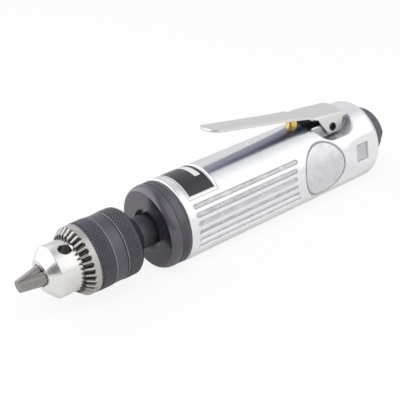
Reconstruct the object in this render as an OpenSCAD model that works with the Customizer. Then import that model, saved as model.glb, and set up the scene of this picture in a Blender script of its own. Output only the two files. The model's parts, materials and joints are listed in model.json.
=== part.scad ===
// Straight air drill with a keyed chuck and a lever throttle, all sizes in millimetres.
// X runs along the tool: the chuck points to -X and the air inlet to +X. +Z is the lever's side.
// The origin is the centre of the air inlet's mouth.
// An angle round the tool is measured from the -Y side towards +Z.

/* [Barrel] */
// Outer radius of the barrel
barrel_r = 20; // [19.5:0.5:23]
// Wall of the barrel round the motor
barrel_wall = 2.6; // [2.4:0.1:3.2]
// Rounding of the barrel's rear edge
rear_round = 4; // [3:0.5:4.5]
// Rise of the barrel's top behind the lever
top_rise = 0.8; // [0.4:0.1:1.2]
// Depth of the threads that hold the front cap, beyond the motor bore
thread_step = 0.55; // [0.4:0.05:0.7]
// Engaged length of the front cap's thread
thread_l = 8.7; // [7:0.1:12]
// Thickness of metal between the motor and the valve chamber
bulkhead_web = 5.8; // [5:0.2:9]
// Distance from the barrel's rear face to the valve's axis
valve_back = 41; // [40:0.5:48]

/* [Barrel decoration] */
// Number of long grooves on each side
groove_n = 6; // [4:1:7]
// Radius of the round-bottomed grooves
groove_r = 1.03; // [0.8:0.05:1.1]
// Angle from one groove to the next
groove_pitch = 11.55; // [11:0.25:12.5]
// Length of the longest grooves
groove_l = 61; // [50:1:70]
// How much shorter the middle grooves are, where they end round the emblem
groove_sweep = 3; // [0:0.5:4]
// Radius of the round emblem field
emblem_r = 13.7; // [11:0.1:13.8]
// Depth of the round emblem field's outline
emblem_depth = 0.55; // [0.3:0.05:0.8]
// Length of the flat pad, from behind the emblem to the rear end
pad_l = 21; // [19:0.5:22]
// Half angle that the flat pad takes of the barrel's side
pad_half_angle = 21; // [18:1:23]
// Length of the recess in the flat pad
recess_l = 8.2; // [6:0.2:10]
// Height of the recess in the flat pad
recess_h = 9.8; // [7:0.2:11]
// Length of the label on top of the barrel
label_l = 15; // [12:0.5:18]
// Half angle that the label takes
label_half_angle = 48; // [40:1:52]
// Thickness of the label
label_t = 0.3; // [0.2:0.05:0.4]
// Bare border round the label
label_border = 1; // [0.6:0.1:1.4]

/* [Front cap] */
// Length of the front cap in front of the barrel
cap_l = 10.3; // [9:0.1:14]
// Radius of the front cap's grip band, less than the barrel's
cap_step = 0.2; // [0.1:0.05:0.5]
// Length of the front cap's grip band
cap_band_l = 5.6; // [4:0.1:6]
// Drop from the grip band to the edge of the flat face
cap_shoulder = 2.3; // [1.6:0.1:3]
// Radius of the hole in the flat face
cap_hole_r = 9.5; // [9:0.1:10.5]
// Thickness of the flat face's wall
cap_wall = 2.5; // [2:0.1:3]

/* [Spindle and gears] */
// Radius of the spindle's neck, the bore of its bearing
neck_r = 7.5; // [7:0.1:7.8]
// Gap between the front cap and the chuck
neck_l = 7.5; // [6:0.5:12]
// Wall of the front cap's tube round the spindle's bearing, with its thread
cap_tube_wall = 3.95; // [3.75:0.1:4.35]
// Width of the spindle's bearing
spindle_bearing_w = 7; // [6.4:0.1:7.4]
// Wall of the ring gear behind its teeth
ring_wall = 1.855; // [1.505:0.05:2.255]
// Teeth on the rotor's pinion
sun_n = 12; // [12:12:12]
// Teeth on each planet gear
planet_n = 15; // [15:15:15]
// Width of the planet gears
planet_w = 7.6; // [6:0.2:9]
// Thickness of the spindle's front carrier disc
carrier_t = 2.8; // [2:0.1:3.4]
// Thickness of the loose rear carrier plate
carrier_plate_t = 2; // [1.5:0.1:3]
// Radius of the planet pins
planet_pin_r = 1.8; // [1.5:0.1:2]

/* [Air motor] */
// Length of the cylinder that the rotor runs in
liner_l = 37.4; // [32:0.2:46]
// Thickness of the motor's end plates
plate_t = 7; // [6.8:0.1:9]
// Thinnest wall of the cylinder round the rotor
liner_wall = 2.36; // [2.16:0.1:3.16]
// Gap between the rotor and the cylinder on the tight side
rotor_tight = 0.1; // [0.08:0.01:0.2]
// How far the cylinder's bore lies off the rotor's axis
rotor_offset = 1.8; // [1.4:0.1:2]
// Number of vanes
vane_n = 5; // [4:1:6]
// Thickness of a vane
vane_t = 1.9; // [1.6:0.1:2.2]
// Height of a vane
vane_h = 5; // [4:0.1:5.2]
// Radius of the rotor's front journal
front_journal_r = 5; // [5:0.1:5.4]
// Radius of the rotor's rear journal
rear_journal_r = 4; // [3.5:0.1:4.2]
// Thickness of the gasket behind the motor
gasket_t = 0.5; // [0.4:0.1:0.8]
// Radius of each exhaust channel in the barrel
channel_r = 2.2; // [1.6:0.1:2.3]

/* [Throttle lever] */
// Thickness of the lever's sheet
lever_t = 1.2; // [1:0.1:1.3]
// Length of the lever from its pin to its tip
lever_l = 72.9; // [60:0.5:90]
// Half width of the lever at its tip
lever_tip_w = 6.9; // [6:0.1:8]
// Angle by which the lever rises towards its tip
lever_rise = 10.8; // [9:0.2:14]
// Height of the lever's plate over the pin, square to the plate
lever_h = 6.2; // [6:0.1:7]
// Half width of the hump of the barrel between the lever's ears
hump_w = 8.7; // [8:0.1:9.2]
// Distance from the barrel's rear face to the lever's pin
pin_back = 23.6; // [23:0.2:26]
// Depth of the lever's pin under the barrel's outside
pin_drop = 4.5; // [4:0.1:4.8]
// Radius of the lever's pin
pin_r = 2; // [1.5:0.1:2.1]

/* [Throttle valve] */
// Radius of the brass plunger
plunger_r = 3; // [2.5:0.1:3.2]
// Radius of the valve chamber
chamber_r = 5.2; // [5:0.1:5.4]
// Radius of the valve's ball
ball_r = 4; // [3.8:0.1:4.2]
// Height of the underside of the valve's seat
seat_z = 4; // [3.6:0.1:4.4]
// Thickness of the valve's seat
seat_t = 4; // [3:0.2:4.2]
// Radius of the threaded plug under the valve
plug_r = 6; // [5.8:0.1:6.3]
// Height of the plug's inner end
plug_top = -10; // [-11:0.1:-9]
// Radius of the valve spring's wire
spring_wire_r = 0.45; // [0.35:0.05:0.5]
// Turns of the valve spring
spring_n = 4; // [3:1:5]

/* [Air inlet and exhaust] */
// Length of the tail behind the barrel
tail_l = 10; // [9.5:0.1:12]
// Radius of the threaded air inlet
inlet_r = 5.9; // [5.6:0.1:6.2]
// Depth of the inlet's thread
inlet_depth = 13; // [11:0.5:16]
// Width of the inlet bushing's hexagon across its flats
hex_af = 19; // [18:0.5:20]
// Length of the hexagon
hex_l = 5.8; // [5:0.1:6]
// Radius of the air passage to the valve
passage_r = 4.2; // [3.6:0.1:4.4]
// Outer radius of the exhaust deflector at the barrel
deflector_r = 16; // [15.6:0.1:16.4]
// Outer radius of the exhaust deflector's rim
rim_r = 14; // [13.6:0.1:14.4]
// Wall of the exhaust deflector's rim
rim_wall = 1.6; // [1.4:0.1:1.8]
// Half angle of the window in the exhaust deflector's rim
window_half_angle = 30; // [20:5:40]
// Angle from the tool's side down to the middle of the window
window_turn = 25; // [0:5:40]
// Number of grip flutes round the exhaust deflector's rim
flute_n = 16; // [8:1:20]
// Depth of the exhaust chamber in the barrel
exhaust_depth = 6; // [5:0.5:8]

/* [Chuck] */
// How much smaller than the chuck body's inside the sleeve the nose's radius is
nose_step = 0.66; // [0.4:0.02:0.9]
// Radius of the chuck's flat front face
nose_face_r = 7.3; // [6.8:0.1:8]
// Length of the chuck's front cone
cone_l = 4.3; // [3.5:0.1:5]
// Length of the straight part of the nose in front of the gear ring
nose_l = 9.3; // [8:0.1:11]
// Length of the gear ring
gear_ring_l = 6.5; // [6:0.1:8]
// How much smaller than the sleeve's the gear ring's radius is
gear_ring_step = 0.1; // [0.05:0.05:0.4]
// Teeth on the gear ring
ring_teeth = 31; // [24:1:36]
// Depth of the gear ring's teeth
tooth_depth = 1.1; // [0.8:0.05:1.3]
// Length of the knurled sleeve
sleeve_l = 22.4; // [21:0.2:26]
// Outer radius of the knurled sleeve
sleeve_r = 15.75; // [15.5:0.05:16.2]
// Wall of the sleeve where the jaws slide back into it
sleeve_wall = 1.45; // [1.25:0.05:1.65]
// Length of the chuck's collar behind the sleeve
hub_l = 4.7; // [4:0.1:7]
// Gap between the sleeve's bore and the chuck body inside it
hub_gap = 1.9; // [1.5:0.1:2.3]
// Radius of the key's pilot holes
key_hole_r = 2.7; // [2.4:0.05:2.8]
// Angle of the first key hole round the tool
key_hole_angle = 62; // [50:1:70]
// Angle by which the jaws close in
jaw_angle = 13; // [12:0.5:13.5]
// Radius of a jaw
jaw_r = 2.9; // [2.6:0.05:3]
// Thinnest wall of the nut round the jaws
nut_wall = 2.88; // [2.68:0.05:3.08]
// Reach of the closed jaws in front of the nose
jaw_reach = 10.8; // [8:0.2:12]
// Largest drill shank's radius
shank_r = 4; // [3.5:0.1:4.1]
// Radius of the spindle's thread in the chuck
thread_r = 4.75; // [4.4:0.05:5]
// Length of the spindle's thread in the chuck
chuck_thread_l = 15; // [13:0.5:17]

/* [Clearances] */
// Radial clearance of fixed pieces in their seats
fit = 0.04; // [0.02:0.01:0.06]
// Radial clearance of pieces that turn or slide
run = 0.06; // [0.05:0.01:0.09]
// Gap beside pieces that move past each other
side = 0.3; // [0.2:0.05:0.4]

/* [Hidden] */
$fn = 64;
past = 1;
along = [0, 90, 0];

// Places along the tool, from the inlet forwards
barrel_rear = -tail_l;
valve_x = barrel_rear - valve_back;
pin_x = barrel_rear - pin_back;
pin_z = barrel_r - pin_drop;
bulkhead_x = valve_x - chamber_r - bulkhead_web;
rear_plate_x = bulkhead_x - gasket_t;
liner_rear = rear_plate_x - plate_t;
liner_front = liner_rear - liner_l;
front_plate_x = liner_front - plate_t;
carrier_gap = side + 0.1;
carrier_plate_x = front_plate_x - carrier_gap;
planet_rear = carrier_plate_x - carrier_plate_t - side;
planet_front = planet_rear - planet_w;
disc_rear = planet_front - side;
disc_front = disc_rear - carrier_t;
barrel_front = disc_rear - thread_l;
cap_front = barrel_front - cap_l;
spindle_bearing_x = cap_front + cap_wall;
circlip_x = spindle_bearing_x + spindle_bearing_w;
chuck_rear = cap_front - neck_l;
sleeve_rear = chuck_rear - hub_l;
sleeve_front = sleeve_rear - sleeve_l;
gear_front = sleeve_front - gear_ring_l;
cone_rear = gear_front - nose_l;
nose_front = cone_rear - cone_l;
jaw_tip = nose_front - jaw_reach;

// Barrel
bore_r = barrel_r - barrel_wall;
cap_thread_r = bore_r + thread_step;
spindle_bearing_r = cap_thread_r - cap_tube_wall;
chamfer = 0.5;
edge_steps = 6;
rise_ahead = 6;
rise_start = pin_x - rise_ahead;
rise_run = 14;
rise_inset = 0.05;
rise_sink = 2.2;
groove_start = 5.5;
groove_front = barrel_front + groove_start;
emblem_back = 39.8;
emblem_x = barrel_rear - emblem_back;
emblem_groove = 1;
emblem_sink = 0.25;
recess_back = 12.5;
recess_x = barrel_rear - recess_back;
recess_depth = 0.6;
label_start = 12.2;
label_x = barrel_front + label_start;
label_pocket_angle = label_half_angle + 4;
pocket_half = 13;
pocket_depth = 4.2;
pocket_floor = pin_z - pocket_depth;
pocket_corner_r = 9.5;
pocket_shift = 0.8;
pocket_x = pin_x - pocket_shift;
channel_reach_r = bore_r - 1;
channel_angle = 56.7;
channel_front = liner_front + 4;
exhaust_lip = 1.2;
exhaust_r = barrel_r - rear_round - exhaust_lip;
exhaust_hub_r = 10.5;
bushing_r = 8.5;
bushing_l = 17;
collar_r = 9;
collar_l = 2;
upper_chamber_h = 4;
seal_h = 1.8;
seal_wire_r = 0.85;
seal_drop = 4.6;
seal_z = barrel_r - seal_drop;
feed_r = 1.7;
feed_z = seat_z + seat_t + upper_chamber_h / 2;

// Spindle, gears and bearings
ring_n = sun_n + 2 * planet_n;
root_share = 1.15;
gear_m = (bore_r - fit - ring_wall) / (ring_n / 2 + root_share);
gear_distance = gear_m * (sun_n + planet_n) / 2;
addendum = 0.8 * gear_m;
dedendum = root_share * gear_m;
pressure = 20;
backlash = 0.16;
flank_steps = 4;
planet_count = 3;
carrier_rim = 1.95;
carrier_r = gear_distance + planet_pin_r + carrier_rim;
sun_gap = 1.8;
carrier_hole_r = gear_m * sun_n / 2 + sun_gap;
shoulder_h = 1.3;
shoulder_r = neck_r + shoulder_h;
spindle_ball_r = 1.75;
circlip_t = 1.1;
circlip_groove = 0.7;
circlip_w = 2;
front_bearing_r = 11;
front_bearing_w = 6;
front_ball_r = 1.6;
rear_bearing_r = 8;
rear_bearing_w = 5;
rear_ball_r = 1.05;
front_bearing = [front_journal_r, front_bearing_r, front_bearing_w, front_ball_r, 11];
rear_bearing = [rear_journal_r, rear_bearing_r, rear_bearing_w, rear_ball_r, 10];
main_bearing = [neck_r, spindle_bearing_r, spindle_bearing_w, spindle_ball_r, 12];
race_wall = 0.42;
ball_play = 0.05;
cage_half_t = 0.6;
cage_inset = 1;
cage_pocket = spindle_ball_r + ball_play;
plate_wall = 0.8;
front_bearing_x = liner_front - plate_wall - front_bearing[2];
rear_bearing_x = liner_rear + plate_wall;
end_play = 0.15;
rotor_r = bore_r - fit - liner_wall - rotor_tight - 2 * rotor_offset;
bore_wide_r = rotor_r + rotor_tight + rotor_offset;
slot_play = 0.1;
dowel_r = 1.2;
dowel_drop = 2.8;
dowel_z = bore_r - dowel_drop;
port_r = 2;

// Lever and valve
ear_in = hump_w + side;
ear_out = ear_in + lever_t;
pin_proud = 0.5;
pin_l = ear_out + pin_proud;
saddle_rise = 8.1;
saddle_top = pin_z + saddle_rise;
saddle_arch_r = 18.8;
flat_end = -15.5;
saddle_start = -9.4;
saddle_end = 7.6;
ear_neck = 5.4;
ear_toe_x = -4.6;
ear_toe = 0.9;
ear_front_x = -1.2;
ear_front_z = 0.4;
ear_front_r = 3.6;
ear_rear_x = 2.4;
ear_rear_z = 1.2;
ear_rear_r = 4.4;
ear_tail = 4.8;
slice_low = 5.2;
plate_flare = 1.6;
plate_waist = 0.3;
plate_ease = 8;
plate_straight = 18;
ball_z = seat_z - sqrt(ball_r * ball_r - pow(seat_bore_r(), 2)) - ball_play;
stem_r = 1.5;
plunger_dome = 0.3 * plunger_r;
plunger_travel = 3;
lever_play = 0.1;
plunger_top = pin_z + (lever_h - lever_t) / cos(lever_rise) - lever_play
  + (pin_x - valve_x - plunger_r + plunger_dome) * tan(lever_rise);
plug_bottom = -sqrt(pow(barrel_r, 2) - pow(plug_r, 2)) + 0.2;
spring_r = 0.65 * ball_r;
spring_low = plug_top + spring_wire_r + ball_play;
spring_high = ball_z - sqrt(pow(ball_r, 2) - pow(spring_r, 2)) - spring_wire_r - 0.12;
spring_steps = 12;
spring_sides = 6;

// Deflector
web_t = 3.4;
rim_end = -1.2;
exhaust_hole_r = 0.95;
exhaust_hole_n = 12;
exhaust_hole_step = 0.9;
flute_r = 1.3;
flute_depth = 0.45;
flute_lead = 1;
screen_t = 0.8;
screen_gap = 0.3;
screen_step = 0.5;
screen_x = -inlet_depth - screen_gap - screen_t;
screen_hole_r = 0.45;
screen_pitch = 1.45;

// Chuck
jaw_slope = tan(jaw_angle);
jaw_n = 3;
sleeve_bore_r = sleeve_r - sleeve_wall;
hub_r = sleeve_bore_r - hub_gap;
nose_r = hub_r - nose_step;
hub_wall = 1.5;
neck_step = 1.1;
chuck_neck_r = neck_r + neck_step;
gear_ring_r = sleeve_r - gear_ring_step;
gear_face_drop = 2.45;
gear_face_r = gear_ring_r - gear_face_drop;
gear_cone_l = 3.1;
notch_narrow = 0.7;
notch_wide = 2;
notch_turn = 3;
notch_lead = 2;
notch_l = 12;
notch_h = 3;
nut_ahead = 3.4;
nut_behind = 1.2;
nut_front = sleeve_front - nut_ahead;
nut_rear = sleeve_front + nut_behind;
spigot_wall = 1.3;
nut_r = sleeve_bore_r - spigot_wall;
jaw_mouth_r = nut_r - nut_wall - (nut_rear - nose_front) * jaw_slope;
nut_play = 0.12;
nut_floor_r = jaw_out(nut_front) - 0.2;
jaw_tail = 0.4;
jaw_rear = nut_rear + jaw_tail;
jaw_gap = 0.1;
jaw_teeth = 8;
jaw_pitch = 1.6;
sleeve_guide_l = 2.9;
waist_depth = 0.6;
front_band_l = 9.2;
waist_l = 4.6;
waist_ease = 0.35;
waist_front = sleeve_front + front_band_l;
waist_rear = waist_front + waist_l;
sleeve_edge = 0.3;
sleeve_chamfer = 1.2;
spigot_l = 3;
key_hole_x = gear_front - key_hole_r - 0.1;
key_hole_floor = 7;
shank_bore_end = nut_rear + 1;

function seat_bore_r() = 0.85 * ball_r;

// Radius of the jaws' outside at a place along the tool
function jaw_out(x) = jaw_mouth_r + (x - nose_front) * jaw_slope;

// Points of an arc in the plane of a profile, written as [along, radius]
function arc(centre, r, from, to, steps) =
  [for (i = [0:steps]) let (a = from + (to - from) * i / steps)
    [centre[0] + r * cos(a), centre[1] + r * sin(a)]];

// A solid turned about the tool's axis from a profile of [along, radius] points
module turned(profile)
  rotate(along)
    rotate_extrude()
      polygon([for (p = profile) [p[1], p[0]]]);

// A round bar on the tool's axis between two places
module bar(r, x0, x1)
  translate([min(x0, x1), 0, 0])
    rotate(along)
      cylinder(r = r, h = abs(x1 - x0));

// A round bar across the tool, along Y
module cross_bar(r, x, z, y0, y1)
  translate([x, y0, z])
    rotate([-90, 0, 0])
      cylinder(r = r, h = y1 - y0);

// A ring on the tool's axis
module ring(outer, inner, x0, x1)
  difference() {
    bar(outer, x0, x1);
    bar(inner, x0 - past, x1 + past);
  }

// Turns what is drawn on the -Y side to an angle round the tool
module at_angle(angle)
  rotate([-angle, 0, 0])
    children();

// What the -Y side has, on the +Y side too
module both_sides() {
  children();
  mirror([0, 1, 0])
    children();
}

// Bearings: a bearing is [bore radius, outer radius, width, ball radius, number of balls]
function ball_circle(b) = (b[0] + b[1]) / 2;
function half_track(b) = b[3] - race_wall;

module race_track(b, x)
  rotate(along)
    translate([0, 0, x + b[2] / 2])
      rotate_extrude()
        translate([ball_circle(b), 0])
          circle(r = b[3] + ball_play);

module outer_race(b, x)
  difference() {
    ring(b[1] - fit, ball_circle(b) + half_track(b), x, x + b[2]);
    race_track(b, x);
  }

module inner_race(b, x)
  difference() {
    ring(ball_circle(b) - half_track(b), b[0] + fit, x, x + b[2]);
    race_track(b, x);
  }

module bearing_balls(b, x)
  for (i = [0:b[4] - 1])
    rotate([i * 360 / b[4], 0, 0])
      translate([x + b[2] / 2, 0, ball_circle(b)])
        sphere(r = b[3]);

// Gears: involute teeth, with the first tooth centred on +Y of the gear's own plane
function involute(base_r, r) =
  let (a = acos(min(1, base_r / r))) tan(a) * 180 / PI - a;

function tooth_half(n, r, play) =
  let (pitch_r = gear_m * n / 2, base_r = pitch_r * cos(pressure))
  90 / n - play * 90 / (PI * pitch_r) + involute(base_r, pitch_r)
    - involute(base_r, max(r, base_r));

function gear_points(n, root_r, tip_r, play) =
  [for (k = [0:n - 1], s = [-1, 1], j = [0:flank_steps])
    let (
      step = s < 0 ? j : flank_steps - j,
      r = root_r + (tip_r - root_r) * step / flank_steps,
      a = 360 * k / n + s * tooth_half(n, r, play)
    ) [r * cos(a), r * sin(a)]];

module gear_shape(n, root_r, tip_r, play)
  polygon(gear_points(n, root_r, tip_r, play));

module gear_bar(n, root_r, tip_r, play, x0, x1)
  translate([x0, 0, 0])
    rotate([90, 0, 90])
      linear_extrude(x1 - x0)
        gear_shape(n, root_r, tip_r, play);

module external_gear(n, x0, x1)
  gear_bar(n, gear_m * n / 2 - dedendum, gear_m * n / 2 + addendum, backlash, x0, x1);

// Barrel
function barrel_outline(r) = concat(
  [[barrel_front, 0], [barrel_front, r - chamfer], [barrel_front + chamfer, r]],
  arc([barrel_rear - rear_round, r - rear_round], rear_round, 90, 0, edge_steps),
  [[barrel_rear, 0]]
);

module raised_top()
  translate([0, 0, top_rise])
    turned(concat(
      [[rise_start, 0], [rise_start, barrel_r - rise_sink],
        [rise_start + rise_run, barrel_r - rise_inset]],
      arc([barrel_rear - rear_round, barrel_r - rise_inset - rear_round], rear_round, 90, 0,
        edge_steps),
      [[barrel_rear, 0]]
    ));

module side_grooves()
  for (i = [0:groove_n - 1]) {
    turn = (i - (groove_n - 1) / 2) * groove_pitch;
    reach = (groove_n - 1) / 2 * groove_pitch;
    length = groove_l - groove_sweep * (1 - pow(turn / reach, 2));
    at_angle(turn)
      translate([groove_front, -barrel_r, 0]) {
        rotate(along)
          cylinder(r = groove_r, h = length, $fn = 24);
        sphere(r = groove_r, $fn = 24);
        translate([length, 0, 0])
          sphere(r = groove_r, $fn = 24);
      }
  }

// A shell just under the barrel's surface, which shallow cuts are taken from
module skin(depth)
  difference() {
    bar(barrel_r + past, barrel_front, barrel_rear);
    bar(barrel_r - depth, barrel_front - past, barrel_rear + past);
  }

module emblem_field() {
  intersection() {
    skin(emblem_depth);
    difference() {
      cross_bar(emblem_r, emblem_x, 0, -barrel_r - past, 0);
      cross_bar(emblem_r - emblem_groove, emblem_x, 0, -barrel_r - 2 * past, past);
    }
  }
  intersection() {
    skin(emblem_sink);
    cross_bar(emblem_r - emblem_groove / 2, emblem_x, 0, -barrel_r - past, 0);
  }
}

module flat_pad() {
  pad_y = barrel_r * cos(pad_half_angle);
  translate([barrel_rear - pad_l, -barrel_r - past, -barrel_r])
    cube([pad_l + past, barrel_r + past - pad_y, 2 * barrel_r]);
  translate([recess_x - recess_l / 2, -pad_y - past, -recess_h / 2])
    cube([recess_l, past + recess_depth, recess_h]);
}

module label_block(half_length, half_angle, inner, outer)
  intersection() {
    ring(outer, inner, label_x - half_length, label_x + half_length);
    translate([label_x - half_length - past, 0, 0])
      rotate([90, 0, 90])
        linear_extrude(2 * (half_length + past))
          polygon([
            [0, 0],
            [2 * barrel_r * sin(half_angle), 2 * barrel_r * cos(half_angle)],
            [0, 2 * barrel_r],
            [-2 * barrel_r * sin(half_angle), 2 * barrel_r * cos(half_angle)]
          ]);
  }

module lever_pocket()
  translate([pocket_x, 0, 0])
    rotate([90, 0, 0])
      translate([0, 0, hump_w])
        linear_extrude(barrel_r) {
          low = pocket_floor + pocket_corner_r;
          for (s = [-1, 1])
            translate([s * (pocket_half - pocket_corner_r), low])
              circle(r = pocket_corner_r);
          translate([pocket_corner_r - pocket_half, pocket_floor])
            square([2 * (pocket_half - pocket_corner_r), pocket_corner_r]);
          translate([-pocket_half, low])
            square([2 * pocket_half, barrel_r]);
        }

module exhaust_channels()
  for (s = [-1, 1])
    translate([channel_front, s * channel_reach_r * cos(channel_angle),
        -channel_reach_r * sin(channel_angle)])
      rotate(along)
        cylinder(r = channel_r, h = barrel_rear - exhaust_depth / 2 - channel_front);

module valve_bores()
  translate([valve_x, 0, 0]) {
    translate([0, 0, plug_top])
      cylinder(r = chamber_r, h = seat_z + seat_t + upper_chamber_h - plug_top);
    translate([0, 0, -barrel_r - past])
      cylinder(r = plug_r, h = barrel_r + past + plug_top);
    cylinder(r = plunger_r + run, h = barrel_r + past);
    translate([0, 0, seal_z - seal_h / 2])
      cylinder(r = plunger_r + 2 * seal_wire_r + run, h = seal_h);
  }

module housing()
  color("gainsboro")
    difference() {
      union() {
        turned(barrel_outline(barrel_r));
        raised_top();
      }
      bar(cap_thread_r, barrel_front - past, disc_rear);
      bar(bore_r, disc_rear - past, bulkhead_x);
      valve_bores();
      bar(passage_r, valve_x, barrel_rear);
      bar(bushing_r + fit, barrel_rear - bushing_l - fit, barrel_rear + past);
      bar(collar_r + fit, barrel_rear - collar_l, barrel_rear + past);
      translate([bulkhead_x - past, 0, feed_z])
        rotate(along)
          cylinder(r = feed_r, h = valve_x - bulkhead_x + past);
      ring(exhaust_r, exhaust_hub_r, barrel_rear - exhaust_depth, barrel_rear + past);
      exhaust_channels();
      cross_bar(pin_r + fit, pin_x, pin_z, -barrel_r, barrel_r);
      both_sides() {
        lever_pocket();
        side_grooves();
        emblem_field();
        flat_pad();
      }
      label_block(label_l / 2 + label_border, label_pocket_angle, barrel_r - label_t,
        barrel_r + past);
    }

module label_plate()
  color("black")
    label_block(label_l / 2, label_half_angle, barrel_r - label_t + fit, barrel_r);

// Front cap and spindle bearing
module front_cap() {
  band_r = barrel_r - cap_step;
  face_l = cap_l - cap_band_l;
  color("black")
    difference() {
      turned(concat(
        [[cap_front, 0], [cap_front, band_r - cap_shoulder]],
        [for (a = [75:-15:0])
          [cap_front + face_l - face_l * sin(a), band_r - cap_shoulder * (1 - cos(a))]],
        [[barrel_front - chamfer, band_r], [barrel_front, band_r - chamfer],
          [barrel_front, cap_thread_r - fit], [disc_rear - fit, cap_thread_r - fit],
          [disc_rear - fit, 0]]
      ));
      bar(cap_hole_r, cap_front - past, disc_rear);
      bar(spindle_bearing_r, spindle_bearing_x, disc_rear + past);
      bar(spindle_bearing_r + circlip_groove, circlip_x, circlip_x + circlip_t + fit);
    }
}

module spindle_bearing_outer()
  color("silver")
    outer_race(main_bearing, spindle_bearing_x);

module spindle_bearing_inner()
  color("silver")
    inner_race(main_bearing, spindle_bearing_x);

module spindle_bearing_balls()
  color("lightgray")
    bearing_balls(main_bearing, spindle_bearing_x);

module spindle_bearing_cage()
  color("goldenrod")
    difference() {
      ring(ball_circle(main_bearing) + cage_half_t, ball_circle(main_bearing) - cage_half_t,
        spindle_bearing_x + cage_inset, spindle_bearing_x + spindle_bearing_w - cage_inset);
      for (i = [0:main_bearing[4] - 1])
        rotate([i * 360 / main_bearing[4], 0, 0])
          translate([spindle_bearing_x + spindle_bearing_w / 2 - cage_pocket,
              -cage_pocket, ball_circle(main_bearing) - 2 * cage_half_t])
            cube([2 * cage_pocket, 2 * cage_pocket, 4 * cage_half_t]);
    }

module bearing_circlip()
  color("dimgray")
    difference() {
      ring(spindle_bearing_r + circlip_groove - fit, spindle_bearing_r - circlip_w,
        circlip_x + fit / 2, circlip_x + circlip_t);
      translate([circlip_x - past, -1.5, -barrel_r])
        cube([circlip_t + 2 * past, 3, barrel_r]);
    }

module at_planets()
  for (i = [0:planet_count - 1])
    rotate([i * 360 / planet_count, 0, 0])
      translate([0, gear_distance, 0])
        children();

module spindle()
  color("dimgray")
    difference() {
      union() {
        bar(thread_r - fit, chuck_rear - chuck_thread_l, chuck_rear);
        bar(neck_r, chuck_rear, circlip_x);
        bar(shoulder_r, circlip_x, disc_front);
        bar(carrier_r, disc_front, disc_rear);
      }
      at_planets()
        bar(planet_pin_r, disc_front - past, disc_rear + past);
    }

module planet_pins()
  color("silver")
    at_planets()
      bar(planet_pin_r - fit, disc_front, carrier_plate_x);

module carrier_plate()
  color("slategray")
    difference() {
      bar(carrier_r, carrier_plate_x - carrier_plate_t, carrier_plate_x);
      bar(carrier_hole_r, planet_rear, carrier_plate_x + past);
      at_planets()
        bar(planet_pin_r, planet_rear, carrier_plate_x + past);
    }

module planet_gear(i)
  color("darkgray")
    rotate([i * 360 / planet_count, 0, 0])
      translate([0, gear_distance, 0])
        difference() {
          external_gear(planet_n, planet_front, planet_rear);
          bar(planet_pin_r - fit + run, planet_front - past, planet_rear + past);
        }

module ring_gear()
  color("gray")
    difference() {
      bar(bore_r - fit, disc_rear, front_plate_x);
      gear_bar(ring_n, gear_m * ring_n / 2 - addendum, gear_m * ring_n / 2 + dedendum, -backlash,
        disc_rear - past, front_plate_x + past);
    }

// Air motor
module front_end_plate()
  color("lightsteelblue")
    difference() {
      bar(bore_r - fit, front_plate_x, liner_front);
      bar(front_journal_r + 1, front_plate_x - past, liner_front + past);
      bar(front_bearing[1], front_plate_x - past, liner_front - plate_wall);
      dowel_hole(front_plate_x + 1, liner_front + past);
    }

module rear_end_plate()
  color("lightsteelblue")
    difference() {
      bar(bore_r - fit, liner_rear, rear_plate_x);
      bar(rear_journal_r + 1, liner_rear - past, rear_plate_x + past);
      bar(rear_bearing[1], liner_rear + plate_wall, rear_plate_x + past);
      dowel_hole(liner_rear - past, rear_plate_x - 1);
      feed_hole(liner_rear - past, rear_plate_x + past);
    }

module dowel_hole(x0, x1)
  translate([x0, 0, dowel_z])
    rotate(along)
      cylinder(r = dowel_r, h = x1 - x0);

module feed_hole(x0, x1)
  translate([x0, 0, feed_z])
    rotate(along)
      cylinder(r = feed_r * 0.6, h = x1 - x0);

module motor_dowel()
  color("silver")
    translate([front_plate_x + 1.1, 0, dowel_z])
      rotate(along)
        cylinder(r = dowel_r - fit, h = rear_plate_x - front_plate_x - 2.2);

module motor_gasket()
  color("darkslategray")
    difference() {
      bar(bore_r - fit, rear_plate_x, bulkhead_x);
      bar(rear_journal_r + 1, rear_plate_x - past, bulkhead_x + past);
      feed_hole(rear_plate_x - past, bulkhead_x + past);
      exhaust_channels();
    }

module cylinder_liner()
  color("lightgray")
    difference() {
      bar(bore_r - fit, liner_front, liner_rear);
      translate([0, 0, -rotor_offset])
        bar(bore_wide_r, liner_front - past, liner_rear + past);
      dowel_hole(liner_front - past, liner_rear + past);
      for (s = [-1, 1], k = [1:3])
        translate([liner_front + k * liner_l / 4, 0, 0])
          rotate([s * (90 + channel_angle), 0, 0])
            cylinder(r = port_r, h = barrel_r);
    }

module rotor()
  color("darkgray")
    union() {
      difference() {
        bar(rotor_r, liner_front + end_play, liner_rear - end_play);
        vane_boxes(vane_t + slot_play, vane_h + 1, past);
      }
      bar(front_journal_r, front_plate_x - side / 2, liner_front + end_play);
      bar(rear_journal_r, liner_rear - end_play, rear_plate_x - side);
      external_gear(sun_n, planet_front, front_plate_x - side / 2);
    }

module vane_boxes(thick, high, proud)
  for (i = [0:vane_n - 1])
    rotate([i * 360 / vane_n, 0, 0])
      translate([liner_front + end_play - proud, -thick / 2, rotor_r - high])
        cube([liner_l - 2 * end_play + 2 * proud, thick, high + proud]);

module rotor_vanes()
  color("saddlebrown")
    intersection() {
      vane_boxes(vane_t, vane_h, 0);
      bar(rotor_r - slot_play, liner_front, liner_rear);
    }

module motor_front_bearing_outer()
  color("silver")
    outer_race(front_bearing, front_bearing_x);

module motor_front_bearing_inner()
  color("silver")
    inner_race(front_bearing, front_bearing_x);

module motor_front_bearing_balls()
  color("lightgray")
    bearing_balls(front_bearing, front_bearing_x);

module motor_rear_bearing_outer()
  color("silver")
    outer_race(rear_bearing, rear_bearing_x);

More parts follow.
